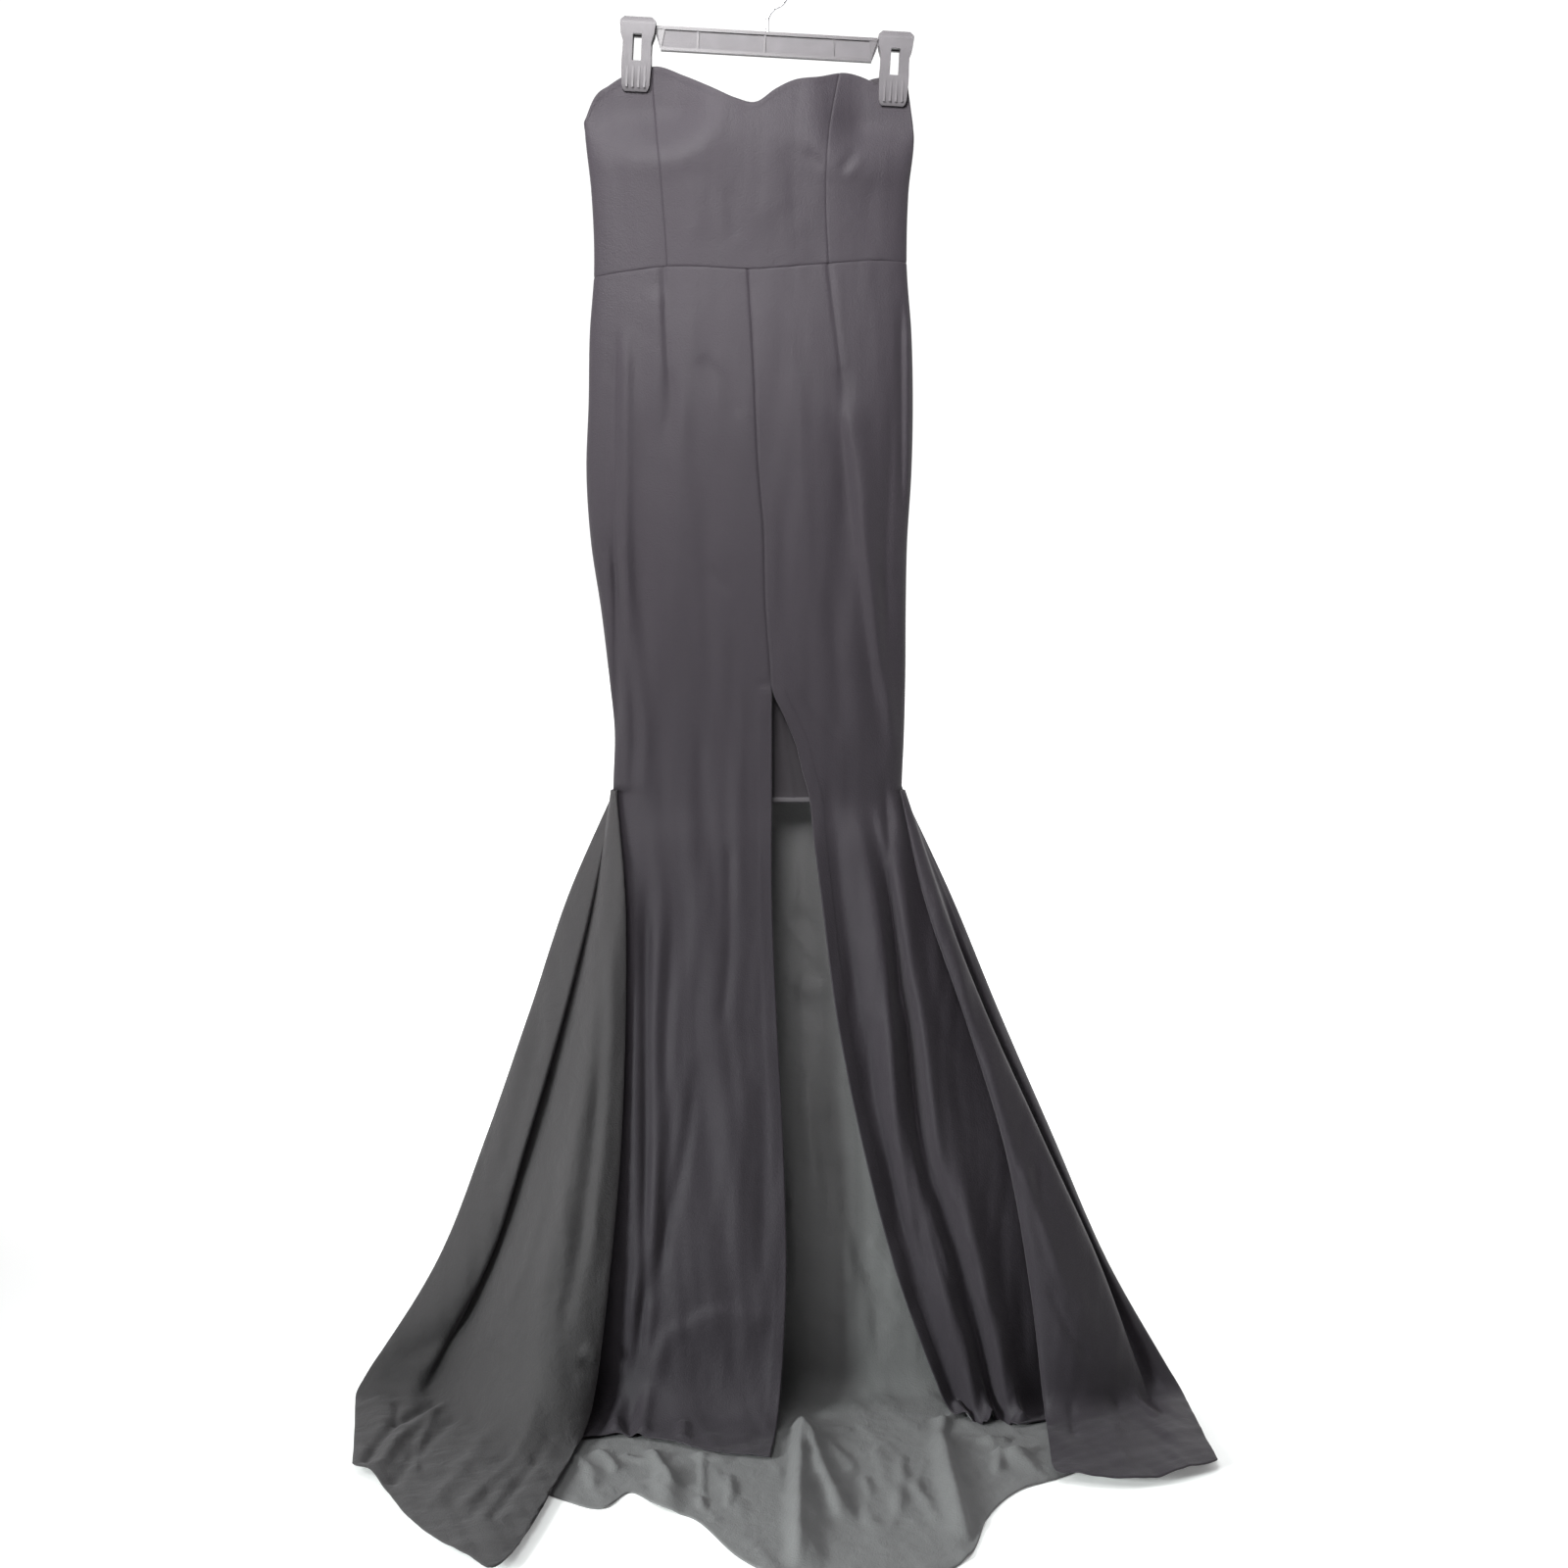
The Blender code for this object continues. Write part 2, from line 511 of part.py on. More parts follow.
def add_skirt():
    left_panel, upper_rows = skirt_front(-1)
    right_panel = skirt_front(1)[0]
    back_panel = skirt_back()[0]
    left_normals = grid_normals(left_panel)
    right_normals = -grid_normals(right_panel)
    back_normals = -grid_normals(back_panel)
    for panel, normals, edge in ((left_panel, left_normals, 0), (right_panel, right_normals, -1)):
        meet_at_side(panel[:upper_rows, 0], normals[:upper_rows, 0],
                     back_panel[:upper_rows, edge], back_normals[:upper_rows, edge])
    add_cloth("skirt_front_left", trim(left_panel, first_column=False, first_row=True), left_normals)
    add_cloth("skirt_front_right", trim(right_panel, first_column=False, first_row=True), right_normals)
    add_cloth("skirt_back", trim(back_panel, False, False, first_row=True), back_normals)
    add_cloth("flare_left", flare(-1, left_panel, back_panel, upper_rows))
    add_cloth("flare_right", flare(1, right_panel, back_panel, upper_rows))


def add_lining():
    """The short front lining: it hangs from just inside the waist seam behind the front panels."""
    rows = np.linspace(0, 1, 9)[:, None]
    share = np.linspace(-0.9, 0.9, 12)
    left_top, right_top = TUBE["left"][4], TUBE["right"][4]
    waist_x = (left_top + right_top) / 2 + (right_top - left_top) / 2 * share
    waist = smooth(WAIST["x"], WAIST["height"], waist_x)
    height = waist + (LINING_HEM - waist) * rows
    left = smooth(TUBE["height"], TUBE["left"], height)
    right = smooth(TUBE["height"], TUBE["right"], height)
    x = (left + right) / 2 + (right - left) / 2 * share
    front = tube_y(x, height, left, right)
    y = front + LAP + 13 * ease(rows * 1.6)
    add_cloth("skirt_lining", trim(np.stack([x, y, height], -1), False, False, first_row=True))


def placed_on_bar(points):
    """Points of the bar's own frame (x along it, z up from its top edge) turned by the bar's tilt."""
    x, y, z = points.T
    return np.stack([x * math.cos(TILT) + z * math.sin(TILT), y,
                     BAR_TOP - x * math.sin(TILT) + z * math.cos(TILT)], -1)


def add_prism(name, outline, low, high, colour, roughness, metallic=0.0):
    """A closed outline in x and z, run from one depth to another along y, on the bar."""
    count = len(outline)
    points = [(x, y, z) for y in (low, high) for x, z in outline]
    faces = [list(range(count)), list(range(2 * count - 1, count - 1, -1))]
    faces += [[(k + 1) % count, k, count + k, count + (k + 1) % count] for k in range(count)]
    return add_mesh(name, placed_on_bar(np.array(points, float)), faces, colour, roughness, metallic)


HANGER_GREY = (0.38, 0.36, 0.38)


def add_bar():
    """Flat bar with a thicker lip along its top and bottom edges and a thin tongue at each end that
    the clips close on. Its section steps in between the lips, so it is lofted in five bands."""
    half, tongue, height = 113.0, 145.0, 23.0
    bands = [(0, 4.0), (-2.5, 4.0), (-2.5, 2.2), (-height + 2.5, 2.2), (-height + 2.5, 4.0), (-height, 4.0)]
    section = [(-depth, z) for z, depth in bands] + [(depth, z) for z, depth in reversed(bands)]
    points = [(x, y, z) for x in (-half, half) for y, z in section]
    count = len(section)
    faces = [list(range(count))[::-1], list(range(count, 2 * count))]
    faces += [[k, (k + 1) % count, count + (k + 1) % count, count + k] for k in range(count)]
    bar = add_mesh("hanger_bar", placed_on_bar(np.array(points, float)), faces, HANGER_GREY, 0.4)
    ends = add_prism("hanger_bar_tongue", [(-tongue, -0.5), (tongue, -0.5), (tongue, -7), (half - 1, -7),
                                           (half - 6, -12), (-half + 6, -12), (-half + 1, -7),
                                           (-tongue, -7)], -2.0, 2.0, HANGER_GREY, 0.4)
    join = bar.modifiers.new("tongue", "BOOLEAN")
    join.operation, join.solver, join.object = "UNION", "EXACT", ends
    ends.hide_render = True
    ends.display_type = "WIRE"


def add_hook():
    """Wire hook: a stem on the bar's top edge, a swing to the right, then an arc over the rail."""
    wire, radius = 1.9, 22.0
    middle = wire - radius
    stem = BAR_TOP + SEAM_GAP
    lead = [(0, stem), (0, stem + 8), (0.3, stem + 13), (2.5, stem + 18), (7, stem + 23)]
    angles = np.radians(np.linspace(-48, 160, 22))
    arc = [(radius * math.cos(a), middle + radius * math.sin(a)) for a in angles]
    tip = [(-22, middle + 5.4), (-23.8, middle + 4.2), (-26, middle + 4.1)]
    route = np.array(lead + arc + tip)
    steps = np.concatenate([[0], np.cumsum(np.hypot(*np.diff(route, axis=0).T))])
    route = smooth(steps, route, np.linspace(0, steps[-1], 34))
    curve = bpy.data.curves.new("hanger_hook", "CURVE")
    curve.dimensions = "3D"
    curve.bevel_depth = wire * MM
    curve.bevel_resolution = 2
    curve.use_fill_caps = True
    spline = curve.splines.new("POLY")
    spline.points.add(len(route) - 1)
    for point, (x, z) in zip(spline.points, route):
        point.co = (x * MM, 0, z * MM, 1)
    curve.materials.append(plastic("hanger_hook", (0.62, 0.62, 0.64), 0.25, 1.0))
    hook = bpy.data.objects.new("hanger_hook", curve)
    bpy.context.collection.objects.link(hook)


def add_clip(name, side, face):
    """Half of a clip: levels down its length, four points across each, with the tall hole left open
    between the middle two. Face -1 is the half towards the viewer and 1 the half behind."""
    levels = CLIP_LEVELS
    count = len(levels["height"])
    points, index = [], {}
    for row in range(count):
        half = levels["half"][row]
        for column, x in enumerate((-half, -CLIP_HOLE, CLIP_HOLE, half)):
            for layer, depth in enumerate((levels["front"][row], levels["inner"][row])):
                index[row, column, layer] = len(points)
                points.append((CLIP_REACH * side + x, face * depth, levels["height"][row]))

    def solid(row, column):
        inside = 0 <= row < count - 1 and 0 <= column < 3
        return inside and not (column == 1 and levels["hole"][row])

    faces = []
    for row in range(count - 1):
        for column in range(3):
            if not solid(row, column):
                continue
            for layer in (0, 1):
                corners = [(row, column), (row, column + 1), (row + 1, column + 1), (row + 1, column)]
                faces.append([index[r, c, layer] for r, c in (corners if layer else corners[::-1])])
            rims = (((row - 1, column), (row, column), (row, column + 1)),
                    ((row + 1, column), (row + 1, column + 1), (row + 1, column)),
                    ((row, column - 1), (row + 1, column), (row, column)),
                    ((row, column + 1), (row, column + 1), (row + 1, column + 1)))
            for beyond, a, b in rims:
                if not solid(*beyond):
                    faces.append([index[(*a, 0)], index[(*b, 0)], index[(*b, 1)], index[(*a, 1)]])
    if face > 0:
        faces = [f[::-1] for f in faces]
    return add_mesh(name, placed_on_bar(np.array(points, float)), faces, HANGER_GREY, 0.38)


def build():
    for old in list(bpy.data.objects):
        bpy.data.objects.remove(old)
    add_bodice()
    add_skirt()
    add_lining()
    add_bar()
    add_hook()
    for side, word in ((-1, "left"), (1, "right")):
        add_clip(f"clip_{word}_front", side, -1)
        add_clip(f"clip_{word}_back", side, 1)


build()
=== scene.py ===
import math
import bpy
import mathutils
import numpy as np
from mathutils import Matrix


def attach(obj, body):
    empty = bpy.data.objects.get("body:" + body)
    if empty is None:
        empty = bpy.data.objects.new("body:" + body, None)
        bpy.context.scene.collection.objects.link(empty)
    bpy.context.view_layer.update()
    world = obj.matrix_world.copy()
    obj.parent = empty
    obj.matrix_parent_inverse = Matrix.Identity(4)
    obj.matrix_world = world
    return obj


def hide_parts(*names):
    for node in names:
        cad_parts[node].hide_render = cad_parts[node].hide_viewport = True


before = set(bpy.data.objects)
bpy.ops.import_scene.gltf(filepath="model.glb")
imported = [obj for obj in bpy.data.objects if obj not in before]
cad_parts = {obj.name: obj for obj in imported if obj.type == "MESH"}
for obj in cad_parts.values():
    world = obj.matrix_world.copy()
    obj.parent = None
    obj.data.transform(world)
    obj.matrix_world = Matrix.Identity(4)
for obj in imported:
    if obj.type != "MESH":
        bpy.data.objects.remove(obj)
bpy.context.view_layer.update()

# The bodice: a front middle panel with a heart-shaped top edge, two front side panels that each
# carry half a bust cup, and a plain back, cut from charcoal stretch knit and joined by plain seams.
# Tables are in millimetres with heights above the floor, and the rail under the hook is at FLOOR.
MM = 0.001
FLOOR = 1506.0
SEAM_GAP = 0.3
CLOTH_WALL = 1.3
KNEE = 672.0
ROUNDNESS = 2.3
BAR_TOP = -64.0
TILT = math.radians(3.15)
CLIP_REACH = 131.0


def columns(names, *rows):
    """Named columns of a short table, one row for each section, fold or point."""
    return dict(zip(names.split(), np.array(rows, float).T))


def smooth(knots, values, at):
    """Cubic through the values at the knots: between two knots it has their two values and slopes,
    and a knot's slope is the mean of those on its two sides."""
    knots, values, at = (np.asarray(a, float) for a in (knots, values, at))
    if knots[0] > knots[-1]:
        knots, values = knots[::-1], values[::-1]
    slopes = np.gradient(values, knots, axis=0)
    at = np.clip(at, knots[0], knots[-1])
    cell = np.clip(np.searchsorted(knots, at, side="right") - 1, 0, len(knots) - 2)
    span = knots[cell + 1] - knots[cell]
    f = (at - knots[cell]) / span
    wide = f.shape + (1,) * (values.ndim - 1)
    f, span = f.reshape(wide), span.reshape(wide)
    ends = values[cell] * (1 + 2 * f) * (1 - f) ** 2 + values[cell + 1] * f * f * (3 - 2 * f)
    return ends + span * (slopes[cell] * f * (1 - f) ** 2 - slopes[cell + 1] * f * f * (1 - f))


def ease(f):
    """Soft step 3f^2 - 2f^3: 0 below 0, 1 above 1, level at both ends."""
    f = np.clip(f, 0, 1)
    return f * f * (3 - 2 * f)


def soft_lines(a, b, lines):
    """Height of soft folds at the places (a, b). A line's height is its own height times
    exp(-(d / width)^2), where d is the distance to the smooth line through its points and the width
    differs on its two sides; it fades in and out over the two lengths given."""
    total = np.zeros(np.broadcast(a, b).shape)
    for height, before, after, fade_in, fade_out, path in lines:
        path = np.array(path, float)
        count = len(path)
        path = smooth(np.arange(count), path, np.linspace(0, count - 1, 3 * count - 2))
        steps = np.diff(path, axis=0)
        lengths = np.hypot(*steps.T)
        run = np.concatenate([[0], np.cumsum(lengths)])
        nearest, side, along = np.full(total.shape, 1e9), np.zeros(total.shape), np.zeros(total.shape)
        for (pa, pb), (da, db), length, start in zip(path[:-1], steps, lengths, run):
            t = np.clip(((a - pa) * da + (b - pb) * db) / length ** 2, 0, 1)
            gap_a, gap_b = a - pa - t * da, b - pb - t * db
            gap = np.hypot(gap_a, gap_b)
            closer = gap < nearest
            nearest = np.where(closer, gap, nearest)
            side = np.where(closer, da * gap_b - db * gap_a, side)
            along = np.where(closer, start + t * length, along)
        fade = np.ones(total.shape)
        if fade_in:
            fade = fade * ease(along / fade_in)
        if fade_out:
            fade = fade * ease((run[-1] - along) / fade_out)
        total += height * fade * np.exp(-(nearest / np.where(side > 0, before, after)) ** 2)
    return total


def hang_waves(x, height, seed, size):
    """Uneven faint waves of hanging knit: six sines across the cloth, 17 to 61 mm long, each bent by
    a slow sine down it, with phases that follow from the seed."""
    total = 0
    for k, length in enumerate((17, 23, 31, 38, 47, 61)):
        bend = 1.6 * np.sin(height * 2 * math.pi / (210 + 37 * k) + 1.7 * k + seed)
        total = total + (length / 61) * np.sin(x * 2 * math.pi / length + bend + 2.3 * k * seed)
    return size * total / 2.5


TUBE = columns(
    "height left right front back",
    (1400, -186, 141, 12, 9),
    (1367, -187, 146, 18, 10),
    (1344, -186, 149, 21, 10),
    (1283, -180, 144, 21, 9),
    (1206, -178, 143, 20, 9),
    (1142, -183, 148, 25, 11),
    (1071, -185, 150, 30, 13),
    (1000, -188, 149, 32, 14),
    (928, -184, 145, 33, 14),
    (857, -174, 144, 33, 13),
    (785, -166, 144, 33, 12),
    (729, -161, 143, 33, 11),
    (KNEE, -163, 141, 33, 11),
    (560, -163, 141, 33, 11),
)
NECKLINE = columns(
    "x height", (-187, 1352), (-178, 1374), (-160, 1390), (-132, 1404), (-114, 1408), (-84, 1398),
    (-58, 1386), (-32, 1374), (-11, 1370), (8, 1383), (26, 1392), (52, 1396), (81, 1401), (100, 1396),
    (114, 1389), (130, 1389), (142, 1390))
BACK_EDGE = columns(
    "x height", (-187, 1352), (-160, 1382), (-132, 1400), (-100, 1388), (-40, 1366), (0, 1360),
    (50, 1370), (88, 1388), (112, 1397), (130, 1396), (142, 1390))
WAIST = columns(
    "x height", (-178, 1198), (-143, 1203), (-105, 1207), (-3, 1205), (34, 1208), (72, 1211),
    (112, 1214), (143, 1213))
PRINCESS = columns(
    "share left right", (0, -118, 73), (0.3, -113, 63), (0.5, -109, 60), (0.75, -105, 60),
    (1, -102, 63))
CUPS = columns("x height wide tall out", (-98, 1336, 46, 42, 5), (92, 1338, 40, 40, 11))
TUBE_FOLDS = columns(
    "side inward top bottom depth width",
    (-1, 21, 1165, 640, 4.0, 6),
    (-1, 33, 1165, 640, -3.0, 7),
    (1, 22, 1110, 760, 4.0, 6),
    (1, 48, 1060, 690, -3.0, 13),
    (1, 70, 1070, 800, 2.5, 11),
)
JAW_LOW = -66.0
PINCH_HALF = 27.0
PINCH_FADE = 66.0
PINCHED = 1.1


def superellipse(x, left, right):
    """Boxy round (1 - |2x - left - right|^n / width^n)^(1/n): 1 in the middle, 0 at the two sides."""
    across = np.clip(np.abs((2 * x - left - right) / (right - left)), 0, 1)
    return (1 - across ** ROUNDNESS) ** (1 / ROUNDNESS)


def looseness(x, height):
    """0 where a clip holds the cloth flat, rising to 1 over PINCH_FADE from the edge of that place."""
    free = np.ones(np.broadcast(x, height).shape)
    for side in (-1, 1):
        reach = CLIP_REACH * side
        middle = reach * math.cos(TILT) + JAW_LOW * math.sin(TILT)
        jaw_low = BAR_TOP - reach * math.sin(TILT) + JAW_LOW * math.cos(TILT) + FLOOR
        beside = np.maximum(np.abs(x - middle) - PINCH_HALF, 0)
        below = np.maximum(jaw_low - 12 - height, 0)
        free = np.minimum(free, ease(np.hypot(beside, below) / PINCH_FADE))
    return free


def tube_y(x, height, left, right, front=True):
    """Depth of the flattened tube: the section's stand-out times the boxy round, with the cups and
    the long folds added in front, drawn in to the middle plane near the clips."""
    bow = superellipse(x, left, right)
    free = looseness(x, height)
    if not front:
        out = smooth(TUBE["height"], TUBE["back"], height) * bow + SEAM_GAP / 2
        return free * out + (1 - free) * PINCHED
    out = smooth(TUBE["height"], TUBE["front"], height) * bow
    for cup_x, cup_height, wide, tall, stand in zip(*CUPS.values()):
        out = out + stand * np.exp(-((x - cup_x) / wide) ** 2 - ((height - cup_height) / tall) ** 2)
    for side, inward, top, bottom, depth, width in zip(*TUBE_FOLDS.values()):
        edge = left if side < 0 else right
        run = ease((top - height) / 120) * ease((height - bottom) / 60)
        out = out - depth * run * bow * np.exp(-((x - edge + side * inward) / width) ** 2)
    return -(free * (out + SEAM_GAP / 2) + (1 - free) * PINCHED)


def unit(vectors):
    """Vectors divided by their lengths."""
    return vectors / np.maximum(np.linalg.norm(vectors, axis=-1, keepdims=True), 1e-9)


def grid_normals(points, turn):
    """Unit normals turn * (step across) x (step down) of a grid of points."""
    return turn * unit(np.cross(np.gradient(points, axis=1), np.gradient(points, axis=0)))


def edge_distance(points, edge):
    """Distance in the cloth from one edge of a grid: first, last, left or right."""
    grid = {"first": points, "last": points[::-1], "left": points.transpose(1, 0, 2),
            "right": points[:, ::-1].transpose(1, 0, 2)}[edge]
    steps = np.linalg.norm(np.diff(grid, axis=0), axis=2)
    run = np.concatenate([np.zeros((1, grid.shape[1])), np.cumsum(steps, axis=0)])
    return {"first": run, "last": run[::-1], "left": run.T, "right": run.T[:, ::-1]}[edge]


class Tone:
    """A shader socket on which Python's operators work: each adds one Math node."""

    def __init__(self, finish, socket):
        self.finish, self.socket = finish, socket

    def math(self, operation, *values):
        return self.finish.node("ShaderNodeMath", {"operation": operation}, dict(enumerate(values)))

    def __add__(self, other):
        return self.math("ADD", self, other)

    def __mul__(self, other):
        return self.math("MULTIPLY", self, other)

    def __sub__(self, other):
        return self.math("SUBTRACT", self, other)

    def __rsub__(self, other):
        return self.math("SUBTRACT", other, self)

    __radd__, __rmul__ = __add__, __mul__


class Finish:
    """The nodes of a material or of the room's light: one shader, and a method that adds any other
    node."""

    def __init__(self, owner, shader, **numbers):
        owner.use_nodes = True
        self.owner, self.tree = owner, owner.node_tree
        self.shader = self.tree.nodes[shader]
        for socket, number in numbers.items():
            self.feed(socket.replace("_", " "), number)

    def node(self, kind, settings, values, output=0):
        node = self.tree.nodes.new(kind)
        for name, setting in settings.items():
            setattr(node, name, setting)
        for name, value in values.items():
            self.put(node.inputs[name], value)
        return Tone(self, node.outputs[output])

    def put(self, socket, value):
        if isinstance(value, Tone):
            self.tree.links.new(value.socket, socket)
        else:
            socket.default_value = value

    def feed(self, socket, value):
        self.put(self.shader.inputs[socket], value)


def material(name, **numbers):
    """A new material with plain numbers on its shader's own sockets."""
    return Finish(bpy.data.materials.new(name), "Principled BSDF", **numbers)


def knit(name, light, dark, rough, grain, crinkle, sheen=0.1):
    """Stretch knit: colour runs from dark to light with a broad cloudiness, faint streaks down the
    cloth and a fine grain; the grain and a scatter of soft crinkles lift the surface."""
    finish = material(name, Sheen_Weight=sheen, Sheen_Roughness=0.45, Sheen_Tint=(0.9, 0.86, 0.9, 1),
                      Specular_IOR_Level=0.2)
    place = finish.node("ShaderNodeTexCoord", {}, {}, "Object")
    drawn = finish.node("ShaderNodeMapping", {}, {"Vector": place, "Scale": (1, 1, 0.09)})

    def noise(vector, scale, detail, distortion=0.0):
        return finish.node("ShaderNodeTexNoise", {}, {
            "Vector": vector, "Scale": scale, "Detail": detail, "Distortion": distortion})

    clouds, streaks = noise(place, 5.0, 3.0), noise(drawn, 95.0, 4.0)
    fine, soft = noise(place, 620.0, 2.0), noise(place, 42.0, 5.0, 0.6)
    mix = clouds * 0.55 + streaks * 0.3 + fine * 0.15
    finish.feed("Base Color", finish.node("ShaderNodeMix", {"data_type": "RGBA"}, {
        0: mix, 6: (*dark, 1), 7: (*light, 1)}, 2))
    finish.feed("Roughness", rough + (streaks - 0.5) * 0.16)
    relief = (fine + streaks) * grain + soft * crinkle
    finish.feed("Normal", finish.node("ShaderNodeBump", {}, {
        "Height": relief, "Distance": 0.001, "Strength": 0.9}))
    return finish.owner


FACE = knit("knit face", (0.032, 0.027, 0.033), (0.017, 0.014, 0.018), rough=0.62, grain=0.5, crinkle=0.7)
WRONG_SIDE = knit("knit wrong side", (0.138, 0.137, 0.139), (0.098, 0.095, 0.097),
                  rough=0.9, grain=0.6, crinkle=2.4)
RIM = 0.4


def cloth(name, points, turn, wall=CLOTH_WALL, normals=None, outside=FACE, inside=WRONG_SIDE, rim_slot=0):
    """A cloth wall: the grid moved half the wall out and in along its normals, closed round its four
    edges by a rounded rim that stands RIM of the wall proud. Its UV map is the distance in metres
    across and down the cloth. The rim looks like the outside, or with rim_slot 1 like the inside."""
    normals = grid_normals(points, turn) if normals is None else normals
    points = points - np.array([0, 0, FLOOR])
    rows, across = points.shape[:2]
    count = rows * across
    wall = np.broadcast_to(wall, (rows, across))[..., None]
    index = np.arange(count).reshape(rows, across)
    rim = np.concatenate([index[0], index[1:, -1], index[-1, -2::-1], index[-2:0:-1, 0]])
    away = np.zeros_like(points)
    away[0] += unit(points[0] - points[1])
    away[-1] += unit(points[-1] - points[-2])
    away[:, 0] += unit(points[:, 0] - points[:, 1])
    away[:, -1] += unit(points[:, -1] - points[:, -2])
    lip = (points + unit(away) * wall * RIM).reshape(-1, 3)[rim]
    mesh_points = np.concatenate([(points + normals * wall / 2).reshape(-1, 3),
                                  (points - normals * wall / 2).reshape(-1, 3), lip]) * MM
    a, b, c, d = index[:-1, :-1], index[:-1, 1:], index[1:, 1:], index[1:, :-1]
    outer = np.stack([a, b, c, d] if turn > 0 else [a, d, c, b], -1).reshape(-1, 4)
    after = np.roll(rim, -1)
    edge = np.arange(len(rim)) + 2 * count
    edge_after = np.roll(edge, -1)
    band_out = np.stack([rim, edge, edge_after, after], -1)
    band_in = np.stack([edge, rim + count, after + count, edge_after], -1)
    bands = np.concatenate([band_out, band_in])
    if turn < 0:
        bands = bands[:, ::-1]
    faces = np.concatenate([outer, outer[:, ::-1] + count, bands])
    mesh = bpy.data.meshes.new(name)
    mesh.from_pydata(mesh_points, [], faces)
    u, v = edge_distance(points, "left") * MM, edge_distance(points, "first") * MM
    flat = np.stack([u, v], -1).reshape(-1, 2)
    flat = np.concatenate([flat, flat, flat[rim]])
    layer = mesh.uv_layers.new(name="cloth")
    layer.data.foreach_set("uv", flat[faces.ravel()].astype(np.float32).ravel())
    for look in (outside, inside):
        mesh.materials.append(look)
    slots = np.zeros(len(faces), np.int32)
    slots[len(outer):2 * len(outer)] = 1
    slots[2 * len(outer):] = rim_slot
    mesh.polygons.foreach_set("material_index", slots)
    mesh.shade_smooth()
    mesh.update()
    piece = bpy.data.objects.new(name, mesh)
    bpy.context.collection.objects.link(piece)
    return piece


def settle(piece, node, slot, **sheet):
    """The piece rides the one body and stands for its CAD node, which is hidden; the sheet given is not
    used.
    """
    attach(piece, "root")
    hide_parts(node)


def spread(count, ends=0.6):
    """Shares from 0 to 1 that lie closer together towards both ends."""
    t = np.linspace(0, 1, count)
    return (1 - ends) * t + ends * (1 - np.cos(math.pi * t)) / 2


def meet_at_side(front, front_normals, back, back_normals):
    """Two walls made to meet square to each other along a side seam, except where a clip holds them
    flat: their normals are shared in proportion to how open the tube is there."""
    shared = front_normals + back_normals
    size = np.linalg.norm(shared, axis=1, keepdims=True)
    open_tube = ease((size - 0.4) / 0.8)
    for wall, normals, way in ((front, front_normals, -1), (back, back_normals, 1)):
        normals[:] = unit(normals + (unit(shared) - normals) * open_tube)
        wall[:, 1] = way * (SEAM_GAP / 2 + CLOTH_WALL / 2 * np.abs(normals[:, 1]))


# Each fold: its height, its width before and after the line, its fade in and out, and its points.
BODICE_FOLDS = [
    (-2.2, 6, 5, 12, 12, [(94, 1330), (84, 1314), (70, 1299)]),
    (1.6, 5, 5, 12, 12, [(100, 1322), (90, 1306), (80, 1294)]),
    (-1.6, 6, 6, 12, 12, [(37, 1325), (48, 1313), (59, 1302)]),
    (-1.2, 14, 10, 30, 30, [(15, 1338), (27, 1288), (20, 1238)]),
    (1.0, 16, 12, 30, 40, [(-4, 1345), (2, 1290), (-6, 1232)]),
    (-0.9, 8, 8, 14, 20, [(-128, 1362), (-110, 1340), (-96, 1318)]),
    (-0.8, 7, 7, 14, 20, [(104, 1370), (96, 1345), (84, 1330)]),
    (-0.9, 8, 8, 20, 30, [(-160, 1330), (-150, 1280), (-156, 1226)]),
    (0.8, 9, 8, 20, 30, [(-84, 1300), (-72, 1262), (-80, 1220)]),
    (-0.7, 7, 7, 15, 25, [(-40, 1290), (-34, 1250), (-44, 1222)]),
    (-0.9, 8, 8, 15, 20, [(112, 1300), (104, 1262), (112, 1222)]),
]
BACK_BODICE_FOLDS = [
    (-1.4, 9, 9, 20, 30, [(-120, 1372), (-90, 1330), (-70, 1290)]),
    (-1.2, 8, 8, 20, 30, [(96, 1376), (66, 1334), (40, 1300)]),
    (1.3, 12, 9, 20, 30, [(-20, 1352), (-26, 1290), (-14, 1222)]),
    (-1.1, 9, 9, 15, 25, [(-60, 1262), (-10, 1244), (48, 1256)]),
    (1.0, 9, 9, 15, 25, [(-140, 1300), (-128, 1250), (-136, 1212)]),
]
rows = spread(64)
left_side, right_side = 1352 + (1198 - 1352) * rows, 1390 + (1213 - 1390) * rows
side_x = (smooth(TUBE["height"], TUBE["left"], left_side),
          smooth(TUBE["height"], TUBE["right"], right_side))
seam_x = [smooth(PRINCESS["share"], PRINCESS[n], rows) for n in ("left", "right")]


def panel_columns(start, end, count):
    """Columns between two lines, closer together beside both."""
    return start + (end - start) * spread(count, 0.8)[:, None]


def bodice_wall(x, edge, front, folds, seed):
    """The tube between the top edge and the waist: rows share out the height between the two edges,
    and the folds stand off the tube's depth."""
    top, low = smooth(edge["x"], edge["height"], x[0]), smooth(WAIST["x"], WAIST["height"], x[-1])
    height = top + (low - top) * rows[:, None]
    y = tube_y(x, height, side_x[0][:, None], side_x[1][:, None], front)
    stand = soft_lines(x, height, folds) + hang_waves(x, height, seed, 0.35)
    stand = stand * looseness(x, height) * superellipse(x, side_x[0][:, None], side_x[1][:, None])
    return np.stack([x, y - stand if front else y + stand, height], -1)


